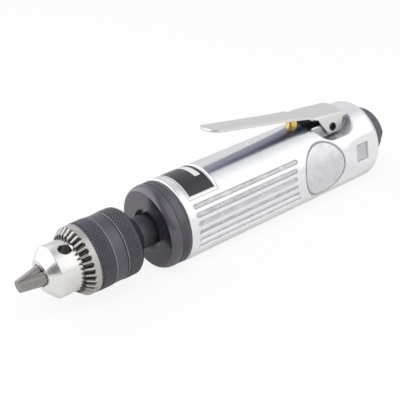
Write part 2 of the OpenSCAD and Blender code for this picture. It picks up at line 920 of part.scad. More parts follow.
module motor_rear_bearing_inner()
  color("silver")
    inner_race(rear_bearing, rear_bearing_x);

module motor_rear_bearing_balls()
  color("lightgray")
    bearing_balls(rear_bearing, rear_bearing_x);

// Throttle lever: a sheet that is flat from its tip to flat_end, then arches over the hump
module in_lever()
  translate([pin_x, 0, pin_z])
    rotate([0, lever_rise, 0])
      children();

function lever_plan() =
  let (
    tip_r = lever_tip_w * 1.4,
    tip_angle = asin(lever_tip_w / tip_r),
    waist = lever_tip_w + plate_waist,
    shoulder = waist + 0.4,
    flare = lever_tip_w + plate_flare
  ) concat(
    [[flat_end, -flare], [flat_end - plate_ease, -shoulder], [flat_end - plate_straight, -waist]],
    [for (i = [-4:4]) let (a = i * tip_angle / 4)
      [-lever_l + tip_r * (1 - cos(a)), tip_r * sin(a)]],
    [[flat_end - plate_straight, waist], [flat_end - plate_ease, shoulder], [flat_end, flare]]
  );

module arch_fill(r, half)
  intersection() {
    translate([0, saddle_top - saddle_arch_r])
      circle(r = r);
    translate([-half, pin_z - lever_h])
      square([2 * half, barrel_r]);
  }

module flat_slice(half, low, high)
  in_lever()
    translate([flat_end - 0.1, -half, low])
      cube([0.1, 2 * half, high - low]);

module arch_slice(r, half)
  translate([pin_x + saddle_start, 0, 0])
    rotate([90, 0, 90])
      linear_extrude(0.1)
        arch_fill(r, half);

module ear_side()
  translate([pin_x, 0, pin_z])
    rotate([90, 0, 0])
      linear_extrude(2 * ear_out, center = true)
        polygon(concat(
          [[saddle_start, 2 * saddle_rise], [saddle_start, ear_neck], [ear_toe_x, -ear_toe]],
          arc([ear_front_x, ear_front_z], ear_front_r, 202, 270, 3),
          arc([ear_rear_x, ear_rear_z], ear_rear_r, 270, 350, 5),
          [[saddle_end, ear_tail], [saddle_end, 2 * saddle_rise]]
        ));

module throttle_lever()
  color("silver")
    difference() {
      union() {
        in_lever()
          translate([0, 0, lever_h - lever_t])
            linear_extrude(lever_t)
              polygon(lever_plan());
        difference() {
          hull() {
            flat_slice(lever_tip_w + plate_flare, lever_h - lever_t, lever_h);
            intersection() {
              arch_slice(saddle_arch_r, ear_out);
              translate([pin_x - barrel_r, -barrel_r, pin_z + slice_low])
                cube(2 * barrel_r);
            }
          }
          hull() {
            flat_slice(lever_tip_w + plate_flare, lever_h - 3 * lever_t, lever_h - lever_t);
            translate([0, 0, -lever_t / 8])
              arch_slice(saddle_arch_r - lever_t, ear_in);
          }
        }
        intersection() {
          translate([pin_x, 0, 0])
            rotate([90, 0, 90])
              translate([0, 0, saddle_start])
                linear_extrude(saddle_end - saddle_start)
                  difference() {
                    arch_fill(saddle_arch_r, ear_out);
                    arch_fill(saddle_arch_r - lever_t, ear_in);
                  }
          ear_side();
        }
      }
      cross_bar(pin_r + run, pin_x, pin_z, -barrel_r, barrel_r);
    }

module lever_pin()
  color("dimgray")
    difference() {
      cross_bar(pin_r, pin_x, pin_z, -pin_l, pin_l);
      cross_bar(pin_r * 0.45, pin_x, pin_z, -barrel_r, barrel_r);
    }

// Throttle valve: the plunger pushes the ball off its seat
module throttle_plunger()
  color("goldenrod")
    translate([valve_x, 0, 0]) {
      shaft_low = seat_z + seat_t + plunger_travel + side;
      translate([0, 0, shaft_low])
        cylinder(r = plunger_r, h = plunger_top - plunger_dome - shaft_low);
      translate([0, 0, plunger_top - plunger_dome])
        cylinder(r1 = plunger_r, r2 = plunger_r - plunger_dome, h = plunger_dome);
      translate([0, 0, ball_z + ball_r])
        cylinder(r = stem_r, h = shaft_low - ball_z - ball_r);
    }

module seal_ring(r, wire)
  rotate_extrude()
    translate([r, 0])
      circle(r = wire, $fn = 24);

module plunger_seal()
  color("black")
    translate([valve_x, 0, seal_z])
      seal_ring(plunger_r + seal_wire_r + run, seal_wire_r - fit);

module valve_seat()
  color("darkgoldenrod")
    translate([valve_x, 0, seat_z])
      difference() {
        cylinder(r = chamber_r - fit, h = seat_t);
        translate([0, 0, -past])
          cylinder(r = seat_bore_r(), h = seat_t + 2 * past);
      }

module valve_ball()
  color("lightgray")
    translate([valve_x, 0, ball_z])
      sphere(r = ball_r);

// One unbroken tube wound along a helix, with flat ends
function coil_centre(k) =
  let (t = k / (spring_n * spring_steps))
  [spring_r * cos(360 * k / spring_steps), spring_r * sin(360 * k / spring_steps),
    spring_low + (spring_high - spring_low) * t];

function coil_point(k, j) =
  let (a = 360 * k / spring_steps, b = 360 * j / spring_sides, c = coil_centre(k))
  [c[0] + spring_wire_r * cos(b) * cos(a), c[1] + spring_wire_r * cos(b) * sin(a),
    c[2] + spring_wire_r * sin(b)];

module valve_spring() {
  rings = spring_n * spring_steps;
  points = [for (k = [0:rings], j = [0:spring_sides - 1]) coil_point(k, j)];
  walls = [for (k = [0:rings - 1], j = [0:spring_sides - 1], half = [0, 1])
    let (
      a = k * spring_sides + j,
      b = k * spring_sides + (j + 1) % spring_sides,
      c = a + spring_sides,
      d = b + spring_sides
    ) half == 0 ? [a, b, c] : [b, d, c]];
  ends = [for (j = [1:spring_sides - 2], last = [0, 1])
    let (base = last * rings * spring_sides)
    last == 1 ? [base, base + j, base + j + 1] : [base, base + j + 1, base + j]];
  color("silver")
    translate([valve_x, 0, 0])
      polyhedron(points, concat(walls, ends));
}

module valve_plug()
  color("dimgray")
    translate([valve_x, 0, plug_bottom])
      difference() {
        cylinder(r = plug_r - fit, h = plug_top - plug_bottom);
        translate([0, 0, -past])
          cylinder(d = 5 / cos(30), h = 4 + past, $fn = 6);
      }

// Air inlet and exhaust
module inlet_bushing()
  color("dimgray")
    difference() {
      union() {
        bar(bushing_r, barrel_rear - bushing_l, barrel_rear);
        bar(collar_r, barrel_rear - collar_l + fit, -hex_l);
        translate([-hex_l, 0, 0])
          rotate(along)
            cylinder(d = hex_af / cos(30), h = hex_l, $fn = 6);
      }
      bar(inlet_r, -inlet_depth, past);
      bar(inlet_r - screen_step + fit, screen_x, past);
      bar(inlet_r - 2 * screen_step, -inlet_depth - 2 * bushing_l, past);
    }

module inlet_screen()
  color("gray")
    difference() {
      bar(inlet_r - screen_step, screen_x, screen_x + screen_t);
      for (ring_no = [1:3], k = [0:6 * ring_no - 1])
        rotate([k * 60 / ring_no, 0, 0])
          translate([screen_x - past, 0, ring_no * screen_pitch])
            rotate(along)
              cylinder(r = screen_hole_r, h = screen_t + 2 * past, $fn = 16);
    }

module exhaust_muffler()
  color("beige")
    ring(exhaust_r - side, exhaust_hub_r + side, barrel_rear - exhaust_depth + fit,
      barrel_rear - side);

module exhaust_deflector() {
  web_rear = barrel_rear + side + web_t;
  inside_r = rim_r - rim_wall;
  color("dimgray")
    difference() {
      turned([
        [barrel_rear + side, 0], [barrel_rear + side, deflector_r],
        [barrel_rear + side + 1.4, deflector_r - 0.5], [web_rear, rim_r + 0.5],
        [web_rear + 0.6, rim_r], [rim_end - 0.5, rim_r], [rim_end, rim_r - 0.5], [rim_end, 0]
      ]);
      bar(collar_r + run, barrel_rear, past);
      bar(inside_r, web_rear, past);
      for (k = [0:exhaust_hole_n - 1])
        rotate([k * 360 / exhaust_hole_n, 0, 0])
          translate([barrel_rear, 0, exhaust_hub_r + exhaust_hole_step])
            rotate(along)
              cylinder(r = exhaust_hole_r, h = tail_l, $fn = 24);
      at_angle(-window_turn)
        translate([web_rear + 0.8, 0, 0])
          rotate([90, 0, 90])
            linear_extrude(tail_l)
              polygon([[0, 0],
                [-2 * barrel_r * cos(window_half_angle), 2 * barrel_r * sin(window_half_angle)],
                [-2 * barrel_r * cos(window_half_angle), -2 * barrel_r * sin(window_half_angle)]]);
      for (k = [0:flute_n - 1])
        rotate([k * 360 / flute_n, 0, 0])
          translate([web_rear + flute_lead, 0, rim_r + flute_r - flute_depth])
            rotate(along)
              cylinder(r = flute_r, h = tail_l, $fn = 24);
    }
}

// Chuck
module in_chuck_holes()
  for (i = [0:jaw_n - 1])
    rotate([jaw_turn(i), 0, 0])
      children();

function jaw_turn(i) = 90 - key_hole_angle - 180 / jaw_n - i * 360 / jaw_n;

// A jaw's round bar, drawn on the +Z side, and the hole that it slides in
module jaw_bar(r, x0, x1) {
  middle = jaw_out(nose_front) - jaw_r / cos(jaw_angle);
  translate([nose_front, 0, middle])
    rotate([0, 90 - jaw_angle, 0])
      translate([0, 0, (x0 - nose_front) / cos(jaw_angle)])
        cylinder(r = r, h = (x1 - x0) / cos(jaw_angle));
}

module chuck_body()
  color("silver")
    difference() {
      turned([
        [nose_front, 0], [nose_front, nose_face_r - 0.3], [nose_front + 0.3, nose_face_r],
        [cone_rear, nose_r], [nut_front, nose_r], [nut_front, nut_floor_r],
        [nut_rear, nut_floor_r], [nut_rear, hub_r], [sleeve_rear - 0.3, hub_r],
        [sleeve_rear, hub_r - 0.3], [sleeve_rear, chuck_neck_r],
        [chuck_rear - 0.6, chuck_neck_r], [chuck_rear, chuck_neck_r - 0.6], [chuck_rear, 0]
      ]);
      bar(shank_r + 0.2, nose_front - past, shank_bore_end);
      bar(thread_r, chuck_rear - chuck_thread_l - 1, chuck_rear + past);
      in_chuck_holes()
        jaw_bar(jaw_r + run, jaw_tip - 2 * jaw_reach, sleeve_rear - hub_wall);
      for (i = [0:jaw_n - 1])
        at_angle(key_hole_angle + i * 360 / jaw_n)
          translate([key_hole_x, 0, 0])
            rotate([90, 0, 0])
              translate([0, 0, key_hole_floor])
                cylinder(r = key_hole_r, h = barrel_r);
    }

module chuck_sleeve()
  color("darkslategray")
    difference() {
      turned([
        [sleeve_front, 0], [sleeve_front, sleeve_r - sleeve_edge],
        [sleeve_front + sleeve_edge, sleeve_r], [waist_front, sleeve_r],
        [waist_front + waist_ease, sleeve_r - waist_depth],
        [waist_rear - waist_ease, sleeve_r - waist_depth], [waist_rear, sleeve_r],
        [sleeve_rear - sleeve_chamfer, sleeve_r], [sleeve_rear, sleeve_r - sleeve_chamfer],
        [sleeve_rear, 0]
      ]);
      bar(sleeve_bore_r, sleeve_front - past, sleeve_rear - sleeve_guide_l);
      bar(hub_r + run, sleeve_front - past, sleeve_rear + past);
    }

module gear_notches()
  for (i = [0:ring_teeth - 1])
    rotate([i * 360 / ring_teeth - notch_turn, 0, 0])
      translate([gear_front - notch_lead, 0, gear_face_r - tooth_depth - notch_lead * gear_slope()])
        rotate([0, -atan(gear_slope()), 0])
          rotate([90, 0, 90])
            linear_extrude(notch_l)
              polygon([[-notch_narrow / 2, 0], [notch_narrow / 2, 0], [notch_wide, notch_h],
                [-notch_wide, notch_h]]);

function gear_slope() = (gear_ring_r - gear_face_r) / gear_cone_l;

module chuck_gear_ring()
  color("lightslategray")
    difference() {
      turned([
        [gear_front, 0], [gear_front, gear_face_r], [gear_front + gear_cone_l, gear_ring_r],
        [sleeve_front, gear_ring_r], [sleeve_front, sleeve_bore_r - fit],
        [sleeve_front + spigot_l, sleeve_bore_r - fit], [sleeve_front + spigot_l, 0]
      ]);
      bar(nose_r + run, gear_front - past, sleeve_front);
      bar(nut_r + fit, nut_front - run, sleeve_front + spigot_l + past);
      gear_notches();
    }

module chuck_nut()
  color("gray")
    difference() {
      turned([
        [nut_front + run, jaw_out(nut_front) + nut_play], [nut_front + run, nut_r],
        [nut_rear - run, nut_r], [nut_rear - run, jaw_out(nut_rear) + nut_play]
      ]);
      rotate([30, 0, 0])
        translate([nut_front - past, -barrel_r, -0.05])
          cube([nut_rear - nut_front + 2 * past, 2 * barrel_r, 0.1]);
    }

module jaw_thread()
  for (k = [0:jaw_teeth - 1]) {
    x = jaw_rear - (k + 1.2) * jaw_pitch;
    turned([[x - 0.5, jaw_out(x) + 0.4], [x, jaw_out(x) - 0.45], [x + 0.5, jaw_out(x) + 0.6]]);
  }

module chuck_jaw(i)
  color("darkgray")
    rotate([jaw_turn(i), 0, 0])
      difference() {
        intersection() {
          jaw_bar(jaw_r, jaw_tip - jaw_reach, jaw_rear);
          translate([jaw_tip, 0, 0])
            rotate([90, 0, 90])
              linear_extrude(chuck_rear - jaw_tip)
                polygon([[0, jaw_gap], [-2 * barrel_r * sin(60), jaw_gap + 2 * barrel_r * cos(60)],
                  [-barrel_r, 2 * barrel_r], [barrel_r, 2 * barrel_r],
                  [2 * barrel_r * sin(60), jaw_gap + 2 * barrel_r * cos(60)]]);
        }
        jaw_thread();
      }

housing();
label_plate();
front_cap();
spindle_bearing_outer();
spindle_bearing_inner();
spindle_bearing_balls();
spindle_bearing_cage();
bearing_circlip();
spindle();
planet_pins();
carrier_plate();
planet_gear(0);  // planet_gear_1
planet_gear(1);  // planet_gear_2
planet_gear(2);  // planet_gear_3
ring_gear();
front_end_plate();
motor_front_bearing_outer();
motor_front_bearing_inner();
motor_front_bearing_balls();
cylinder_liner();
rotor();
rotor_vanes();
rear_end_plate();
motor_rear_bearing_outer();
motor_rear_bearing_inner();
motor_rear_bearing_balls();
motor_dowel();
motor_gasket();
throttle_lever();
lever_pin();
throttle_plunger();
plunger_seal();
valve_seat();
valve_ball();
valve_spring();
valve_plug();
inlet_bushing();
inlet_screen();
exhaust_muffler();
exhaust_deflector();
chuck_body();
chuck_sleeve();
chuck_gear_ring();
chuck_nut();
chuck_jaw(0);  // chuck_jaw_1
chuck_jaw(1);  // chuck_jaw_2
chuck_jaw(2);  // chuck_jaw_3
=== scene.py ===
"""Dresses a straight air drill: a polished barrel, a throttle lever, a keyed chuck and a dark tail."""

import json
import math

import bmesh
import bpy
import numpy as np
from bpy.props import FloatProperty, FloatVectorProperty, IntProperty, PointerProperty
from bpy.types import Operator, Panel, PropertyGroup
from mathutils import Matrix, Vector


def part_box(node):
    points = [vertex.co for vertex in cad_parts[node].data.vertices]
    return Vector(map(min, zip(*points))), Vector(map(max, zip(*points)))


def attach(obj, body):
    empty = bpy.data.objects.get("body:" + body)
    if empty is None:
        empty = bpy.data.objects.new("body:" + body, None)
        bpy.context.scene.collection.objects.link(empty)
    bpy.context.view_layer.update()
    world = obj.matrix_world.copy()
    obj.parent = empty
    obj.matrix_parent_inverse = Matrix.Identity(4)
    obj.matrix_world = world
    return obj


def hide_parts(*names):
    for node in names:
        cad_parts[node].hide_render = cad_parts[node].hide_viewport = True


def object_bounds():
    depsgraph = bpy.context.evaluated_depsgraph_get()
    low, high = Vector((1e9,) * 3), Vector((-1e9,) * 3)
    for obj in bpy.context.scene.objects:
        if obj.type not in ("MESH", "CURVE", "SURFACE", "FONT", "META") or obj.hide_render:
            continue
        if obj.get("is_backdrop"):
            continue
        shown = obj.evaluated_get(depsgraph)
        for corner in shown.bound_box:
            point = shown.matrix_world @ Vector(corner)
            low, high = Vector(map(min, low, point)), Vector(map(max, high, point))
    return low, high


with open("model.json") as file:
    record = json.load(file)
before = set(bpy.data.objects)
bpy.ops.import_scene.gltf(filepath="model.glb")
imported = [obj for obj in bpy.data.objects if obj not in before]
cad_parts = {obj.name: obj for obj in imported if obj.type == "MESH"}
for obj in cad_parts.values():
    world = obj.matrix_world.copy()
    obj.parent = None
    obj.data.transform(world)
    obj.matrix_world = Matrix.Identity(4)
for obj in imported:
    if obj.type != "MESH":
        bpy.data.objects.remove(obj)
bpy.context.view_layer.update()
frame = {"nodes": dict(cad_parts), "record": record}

bl_info = {
    "name": "Straight air drill",
    "version": (1, 0, 0),
    "blender": (4, 5, 0),
    "location": "View3D > Sidebar > Air drill",
    "description": "Builds the looks of a straight air drill round its packed frame",
    "category": "Object",
}

MM = 0.001


# Places and sizes in millimetres, read from the frame. X runs along the tool, and its nose is at the low end.
def low(node, axis=0):
    """A node's lowest place along an axis."""
    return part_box(node)[0][axis] / MM


def high(node, axis=0):
    """A node's highest place along an axis."""
    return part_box(node)[1][axis] / MM


def width(node, axis):
    """How far a node reaches along an axis."""
    return high(node, axis) - low(node, axis)


BARREL_FRONT = low("housing")
BARREL_REAR = high("housing")
BARREL_R = high("housing", 1)
TOP_RISE = high("housing", 2) - BARREL_R
VALVE_X = (low("valve_seat") + high("valve_seat")) / 2
PIN_X = (low("lever_pin") + high("lever_pin")) / 2
PIN_Z = (low("lever_pin", 2) + high("lever_pin", 2)) / 2
PIN_R = width("lever_pin", 2) / 2
LABEL_X = (low("label_plate") + high("label_plate")) / 2
FIT = 0.04  # play round parts that stay put
RUN = 0.06  # play round parts that move
FAR = 99  # a distance that no place on the tool has
BEYOND = 30  # a reach past the tool's sides
PASSAGE_R = 4.2  # the air passage, and the chuck's bore for the shank of a bit
BUSHING_R = 8.5


# Mesh helpers, in millimetres until a mesh is finished
def raw_mesh(points, faces):
    """A mesh from points and from faces that number them."""
    mesh = bpy.data.meshes.new("work")
    mesh.from_pydata([tuple(p) for p in points], [], [tuple(f) for f in faces])
    return mesh


def reworked(mesh, work):
    """The mesh after some work on its points and faces."""
    shell = bmesh.new()
    shell.from_mesh(mesh)
    work(shell)
    shell.to_mesh(mesh)
    shell.free()
    return mesh


def work_mesh(points, faces):
    """A closed mesh with its faces turned outwards."""
    return reworked(raw_mesh(points, faces),
                    lambda shell: bmesh.ops.recalc_face_normals(shell, faces=shell.faces))


def quads(rows, columns, ring=False, closed=True):
    """Faces between rows of points. A ring's last row meets its first, and a closed row's last point its first."""
    faces = []
    for row in range(rows if ring else rows - 1):
        one, two = row * columns, (row + 1) % rows * columns
        for k in range(columns if closed else columns - 1):
            n = (k + 1) % columns
            faces.append((one + k, one + n, two + n, two + k))
    return faces


def softened(profile, radius, steps=3):
    """The profile with each inner corner rounded."""
    points = [np.array(p, float) for p in profile]
    out = [points[0]]
    for before, corner, after in zip(points, points[1:], points[2:]):
        back, on = before - corner, after - corner
        reach = min(radius, 0.45 * np.linalg.norm(back), 0.45 * np.linalg.norm(on))
        start = corner + back / np.linalg.norm(back) * reach
        end = corner + on / np.linalg.norm(on) * reach
        for i in range(steps + 1):
            t = i / steps
            out.append((1 - t) ** 2 * start + 2 * t * (1 - t) * corner + t * t * end)
    return out + [points[-1]]


def turned(profile, steps, ring=False):
    """A solid turned about X from a profile of [along, radius] points. A ring's profile closes on itself."""
    points, rows = [], []
    for along, radius in profile:
        if radius < 1e-6:
            rows.append([len(points)] * steps)
            points.append((along, 0, 0))
            continue
        rows.append(list(range(len(points), len(points) + steps)))
        for k in range(steps):
            a = 2 * math.pi * k / steps
            points.append((along, radius * math.cos(a), radius * math.sin(a)))
    pairs = list(zip(rows, rows[1:]))
    if ring:
        pairs.append((rows[-1], rows[0]))
    faces = []
    for one, two in pairs:
        for k in range(steps):
            n = (k + 1) % steps
            face = dict.fromkeys((one[k], one[n], two[n], two[k]))
            if len(face) > 2:
                faces.append(list(face))
    return work_mesh(points, faces)


def grid_shell(along, radius):
    """A closed ring from rows of places along the tool and radii, each row a turn round the tool."""
    rows, steps = radius.shape
    turns = np.linspace(0, 2 * math.pi, steps, endpoint=False)
    points = np.stack([along, radius * np.cos(turns), radius * np.sin(turns)], axis=-1).reshape(-1, 3)
    return work_mesh(points, quads(rows, steps, ring=True))


def sector(start, end, inner, outer, first, last, steps=48):
    """A solid piece of a ring round the tool, between two angles in degrees from +Y towards +Z."""
    corners = ((start, outer), (end, outer), (end, inner), (start, inner))
    points = [(x, r * math.cos(a), r * math.sin(a)) for a in np.radians(np.linspace(first, last, steps + 1))
              for x, r in corners]
    end_faces = [(3, 2, 1, 0), tuple(4 * steps + j for j in range(4))]
    return work_mesh(points, quads(steps + 1, 4) + end_faces)


def joined(meshes):
    """Meshes that stay apart, as one mesh."""
    whole = bmesh.new()
    for mesh in meshes:
        whole.from_mesh(mesh)
    mesh = bpy.data.meshes.new("work")
    whole.to_mesh(mesh)
    whole.free()
    return mesh


def mark(mesh, name, values):
    """Keeps a value for each point of a mesh, for its material to read."""
    mesh.attributes.new(name, "FLOAT", "POINT").data.foreach_set("value", np.asarray(values, np.float32).ravel())


def bar(radius, start, end, steps=96):
    """A solid round bar along X."""
    return turned([(start, 0), (start, radius), (end, radius), (end, 0)], steps)


def placed(mesh, matrix):
    """The mesh after a move."""
    mesh.transform(matrix)
    return mesh


def shift(x, y=0, z=0):
    """A straight move."""
    return Matrix.Translation((x, y, z))


def spin(angle, axis="X"):
    """A turn in radians about an axis through the origin."""
    return Matrix.Rotation(angle, 4, axis)


def upright(mesh, x):
    """Turns a bar that lies along X up along Z, at a place on the tool."""
    return placed(mesh, shift(x) @ spin(-math.pi / 2, "Y"))


def across(mesh, x, z):
    """Turns a bar that lies along X to run along Y."""
    return placed(mesh, shift(x, 0, z) @ spin(math.pi / 2, "Z"))


def outwards(mesh, x, angle):
    """Turns a bar that lies along X to point away from the tool's axis, at an angle from -Y towards +Z."""
    return placed(mesh, shift(x) @ spin(-angle) @ spin(-math.pi / 2, "Z"))


def linked(name, data):
    """A new object in the scene."""
    thing = bpy.data.objects.new(name, data)
    bpy.context.scene.collection.objects.link(thing)
    return thing


def baked(thing, *others):
    """The mesh that an object's modifiers give. The object is removed, and so are the others."""
    bpy.context.view_layer.update()
    mesh = bpy.data.meshes.new_from_object(thing.evaluated_get(bpy.context.evaluated_depsgraph_get()))
    for done in (thing, *others):
        bpy.data.objects.remove(done)
    return mesh


def combined(solid, tools, operation="DIFFERENCE", solver="MANIFOLD"):
    """A solid less its tools, or joined with them."""
    target = linked("work", solid)
    others = [linked("work", tool) for tool in tools]
    for other in others:
        step = target.modifiers.new("combine", "BOOLEAN")
        step.solver = solver
        step.operation = operation
        step.object = other
    return baked(target, *others)


def bevelled(mesh, radius, angle):
    """The mesh with a small rounding on each edge that is sharper than an angle in degrees."""
    thing = linked("work", mesh)
    step = thing.modifiers.new("edges", "BEVEL")
    step.width = radius
    step.segments = 2
    step.limit_method = "ANGLE"
    step.angle_limit = math.radians(angle)
    return baked(thing)


def cleaned(mesh):
    """Merges the points that a modifier leaves on top of each other, and the faces without area between them."""
    reach = 0.004

    def merge(shell):
        bmesh.ops.remove_doubles(shell, verts=shell.verts, dist=reach)
        bmesh.ops.dissolve_degenerate(shell, edges=shell.edges, dist=reach)

    return reworked(mesh, merge)


def finish_piece(name, mesh, material, body, nodes=(), sharp=35):
    """Scales a mesh in millimetres to the frame, links it, and says what it rides on and stands for."""
    mesh.transform(Matrix.Scale(MM, 4))
    mesh.name = name
    mesh.materials.clear()
    mesh.materials.append(material)
    mesh.polygons.foreach_set("use_smooth", [True] * len(mesh.polygons))
    mesh.set_sharp_from_angle(angle=math.radians(sharp))
    piece = linked(name, mesh)
    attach(piece, body)
    if nodes:
        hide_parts(*nodes)
    return piece


# Colours
class Colours(PropertyGroup):
    """Colours of the finishes"""
    barrel: FloatVectorProperty(name="Barrel", description="Polished aluminium", subtype="COLOR",
                                default=(0.86, 0.865, 0.88))
    cap: FloatVectorProperty(name="Front cap", description="Glossy black", subtype="COLOR",
                             default=(0.018, 0.015, 0.021))
    sleeve: FloatVectorProperty(name="Sleeve", description="Black oxide on the chuck's sleeve",
                                subtype="COLOR", default=(0.12, 0.113, 0.135))
    nose: FloatVectorProperty(name="Nose", description="Polished steel of the chuck's nose",
                              subtype="COLOR", default=(0.8, 0.79, 0.77))
    gear: FloatVectorProperty(name="Gear ring", description="Steel of the toothed ring",
                              subtype="COLOR", default=(0.56, 0.54, 0.52))
    jaws: FloatVectorProperty(name="Jaws", description="Ground steel of the jaws", subtype="COLOR",
                              default=(0.33, 0.31, 0.3))
    lever: FloatVectorProperty(name="Lever", description="Satin steel of the lever", subtype="COLOR",
                               default=(0.76, 0.75, 0.74))
    brass: FloatVectorProperty(name="Brass", description="Turned brass", subtype="COLOR",
                               default=(0.78, 0.56, 0.2))
    tail: FloatVectorProperty(name="Tail", description="Dark grey of the exhaust deflector",
                              subtype="COLOR", default=(0.1, 0.105, 0.12))


# Material helpers
def feed(tree, node, **inputs):
    """Gives a node's inputs their links or plain values. An underscore stands for a space in an input's name."""
    for key, value in inputs.items():
        put(tree, node.inputs[key.replace("_", " ")], value)


def add_node(tree, kind, settings=None, **inputs):
    """A new node with its settings and inputs."""
    node = tree.nodes.new(kind)
    for key, value in (settings or {}).items():
        setattr(node, key, value)
    feed(tree, node, **inputs)
    return node


def put(tree, socket, value):
    """Links a socket to an output, or gives it a plain value."""
    if isinstance(value, bpy.types.NodeSocket):
        tree.links.new(value, socket)
    else:
        socket.default_value = value


def fed(tree, node, values, sockets=None):
    """A node's first output, with values given to its inputs in order, or to those that are numbered."""
    for number, value in zip(sockets or range(len(values)), values):
        put(tree, node.inputs[number], value)
    return node.outputs[0]


def calc(tree, operation, *values):
    """The result of a sum or another operation on values."""
    return fed(tree, add_node(tree, "ShaderNodeMath", {"operation": operation}), values)


def vector(tree, *places):
    """A vector from its three parts."""
    return fed(tree, add_node(tree, "ShaderNodeCombineXYZ"), places)


def mix_shaders(tree, *factor_and_shaders):
    """A shader that goes from the first to the second as the factor goes from 0 to 1."""
    return fed(tree, add_node(tree, "ShaderNodeMixShader"), factor_and_shaders)


def blend_colour(tree, factor, one, two):
    """A colour that goes from the first to the second as the factor goes from 0 to 1."""
    node = add_node(tree, "ShaderNodeMix", {"data_type": "RGBA"})
    colour_sockets = (0, 6, 7)  # the factor's, and those of the two colours
    fed(tree, node, (factor, one, two), colour_sockets)
    return node.outputs[2]


def grain(tree, size, stretch=(1, 1, 1), detail=3, roughness=0.55):
    """Noise of a size in millimetres, from 0 to 1, stretched along the tool's axes."""
    place = add_node(tree, "ShaderNodeTexCoord").outputs["Object"]
    scaled = add_node(tree, "ShaderNodeMapping", Vector=place)
    scaled.inputs["Scale"].default_value = [s / (size * MM) for s in stretch]
    noise = add_node(tree, "ShaderNodeTexNoise", Vector=scaled.outputs[0], Scale=1.0, Detail=detail,
                     Roughness=roughness)
    return noise.outputs["Fac"]


def spread(tree, value, low_value, high_value, start=0.3, end=0.7):
    """Goes from the low value to the high one as a value goes from start to end."""
    return fed(tree, add_node(tree, "ShaderNodeMapRange"), (value, start, end, low_value, high_value))


def point_value(tree, name):
    """The value that mark() kept for each point of the mesh."""
    return add_node(tree, "ShaderNodeAttribute", {"attribute_name": name}).outputs["Fac"]


def rgba(colour, share=1):
    """A share of a colour, with full cover."""
    return (*(c * share for c in colour), 1)


def new_material(name):
    """A new material, its tree and its shader."""
    material = bpy.data.materials.new(name)
    material.use_nodes = True
    return material, material.node_tree, material.node_tree.nodes["Principled BSDF"]


def object_axis(tree, axis):
    """A place on the tool in metres, along one axis."""
    place = add_node(tree, "ShaderNodeTexCoord").outputs["Object"]
    return add_node(tree, "ShaderNodeSeparateXYZ", Vector=place).outputs[axis]


def metal(name, colour, metallic, roughness, size, fine, vary=0.05, fine_stretch=(1, 1, 1), bump=0.3,
          shade=0.85, edge=0.12, gloss=0.5, tint=(1, 1, 1), index=1.5, masked=()):
    """A finish: broad patches vary its gloss and colour, a fine grain gives it a texture, and edges are softened.

    The size is that of the patches, and the fine one that of the grain, both in millimetres. Each mask is a function
    that gives 1 where its colour takes the place of the finish's own.
    """
    material, tree, shader = new_material(name)
    patches = grain(tree, size)
    texture = grain(tree, fine, fine_stretch, detail=2)
    base = blend_colour(tree, patches, rgba(colour, shade), rgba(colour))
    for mask, masked_colour in masked:
        base = blend_colour(tree, mask(tree), base, rgba(masked_colour))
    rounding = add_node(tree, "ShaderNodeBevel", {"samples": 4}, Radius=edge * MM)
    relief = add_node(tree, "ShaderNodeBump", Strength=bump, Distance=0.02 * MM, Height=texture,
                      Normal=rounding.outputs[0])
    feed(tree, shader, Base_Color=base, Metallic=metallic, Specular_IOR_Level=gloss, Specular_Tint=rgba(tint),
         IOR=index, Roughness=spread(tree, patches, roughness + vary, roughness - vary), Normal=relief.outputs[0])
    return material


def barrel_metal(colours):
    """Polished aluminium, dull and mottled where the surface is as it was cast, and darkened with painted shade at
    edges, grooves and in the pocket.
    """
    material, tree, shader = new_material("barrel_polish")
    cast = point_value(tree, "cast")
    painted_shade = point_value(tree, "painted_shade")
    patches = grain(tree, 9)
    fine_mottle = calc(tree, "MULTIPLY", grain(tree, 1.3, detail=4, roughness=0.65), 0.45)
    mottle = calc(tree, "MULTIPLY_ADD", grain(tree, 4.5), 0.55, fine_mottle)
    pores = grain(tree, 0.35, detail=2)
    polished = blend_colour(tree, patches, rgba(colours.barrel, 0.93), rgba(colours.barrel))
    rough = blend_colour(tree, spread(tree, mottle, 0, 1), rgba(colours.barrel, 0.5), rgba(colours.barrel, 0.9))
    # where the painted shade mark is 1 the colour goes to a dark blue-grey: painted shade
    whole = blend_colour(tree, painted_shade, blend_colour(tree, cast, polished, rough), (0.16, 0.165, 0.19, 1))
    height = calc(tree, "MULTIPLY", cast, calc(tree, "ADD", mottle, calc(tree, "MULTIPLY", pores, 0.5)))
    relief = add_node(tree, "ShaderNodeBump", Strength=0.5, Distance=0.1 * MM, Height=height)
    shine = spread(tree, patches, 0.22, 0.16)
    feed(tree, shader, Base_Color=whole, Metallic=1, Roughness=calc(tree, "MULTIPLY_ADD", cast, 0.24, shine),
         Normal=relief.outputs[0])
    return material


# Geometry Nodes helpers
def new_tree(name, sizes):
    """A geometry tree with a named input for each size, the outputs that give the sizes, and its result."""
    tree = bpy.data.node_groups.new(name, "GeometryNodeTree")
    tree.interface.new_socket(name="Geometry", in_out="INPUT", socket_type="NodeSocketGeometry")
    tree.interface.new_socket(name="Geometry", in_out="OUTPUT", socket_type="NodeSocketGeometry")
    for label, value in sizes.items():
        kind = "NodeSocketInt" if isinstance(value, int) else "NodeSocketFloat"
        tree.interface.new_socket(name=label, in_out="INPUT", socket_type=kind)
    return tree, tree.nodes.new("NodeGroupInput").outputs, tree.nodes.new("NodeGroupOutput")


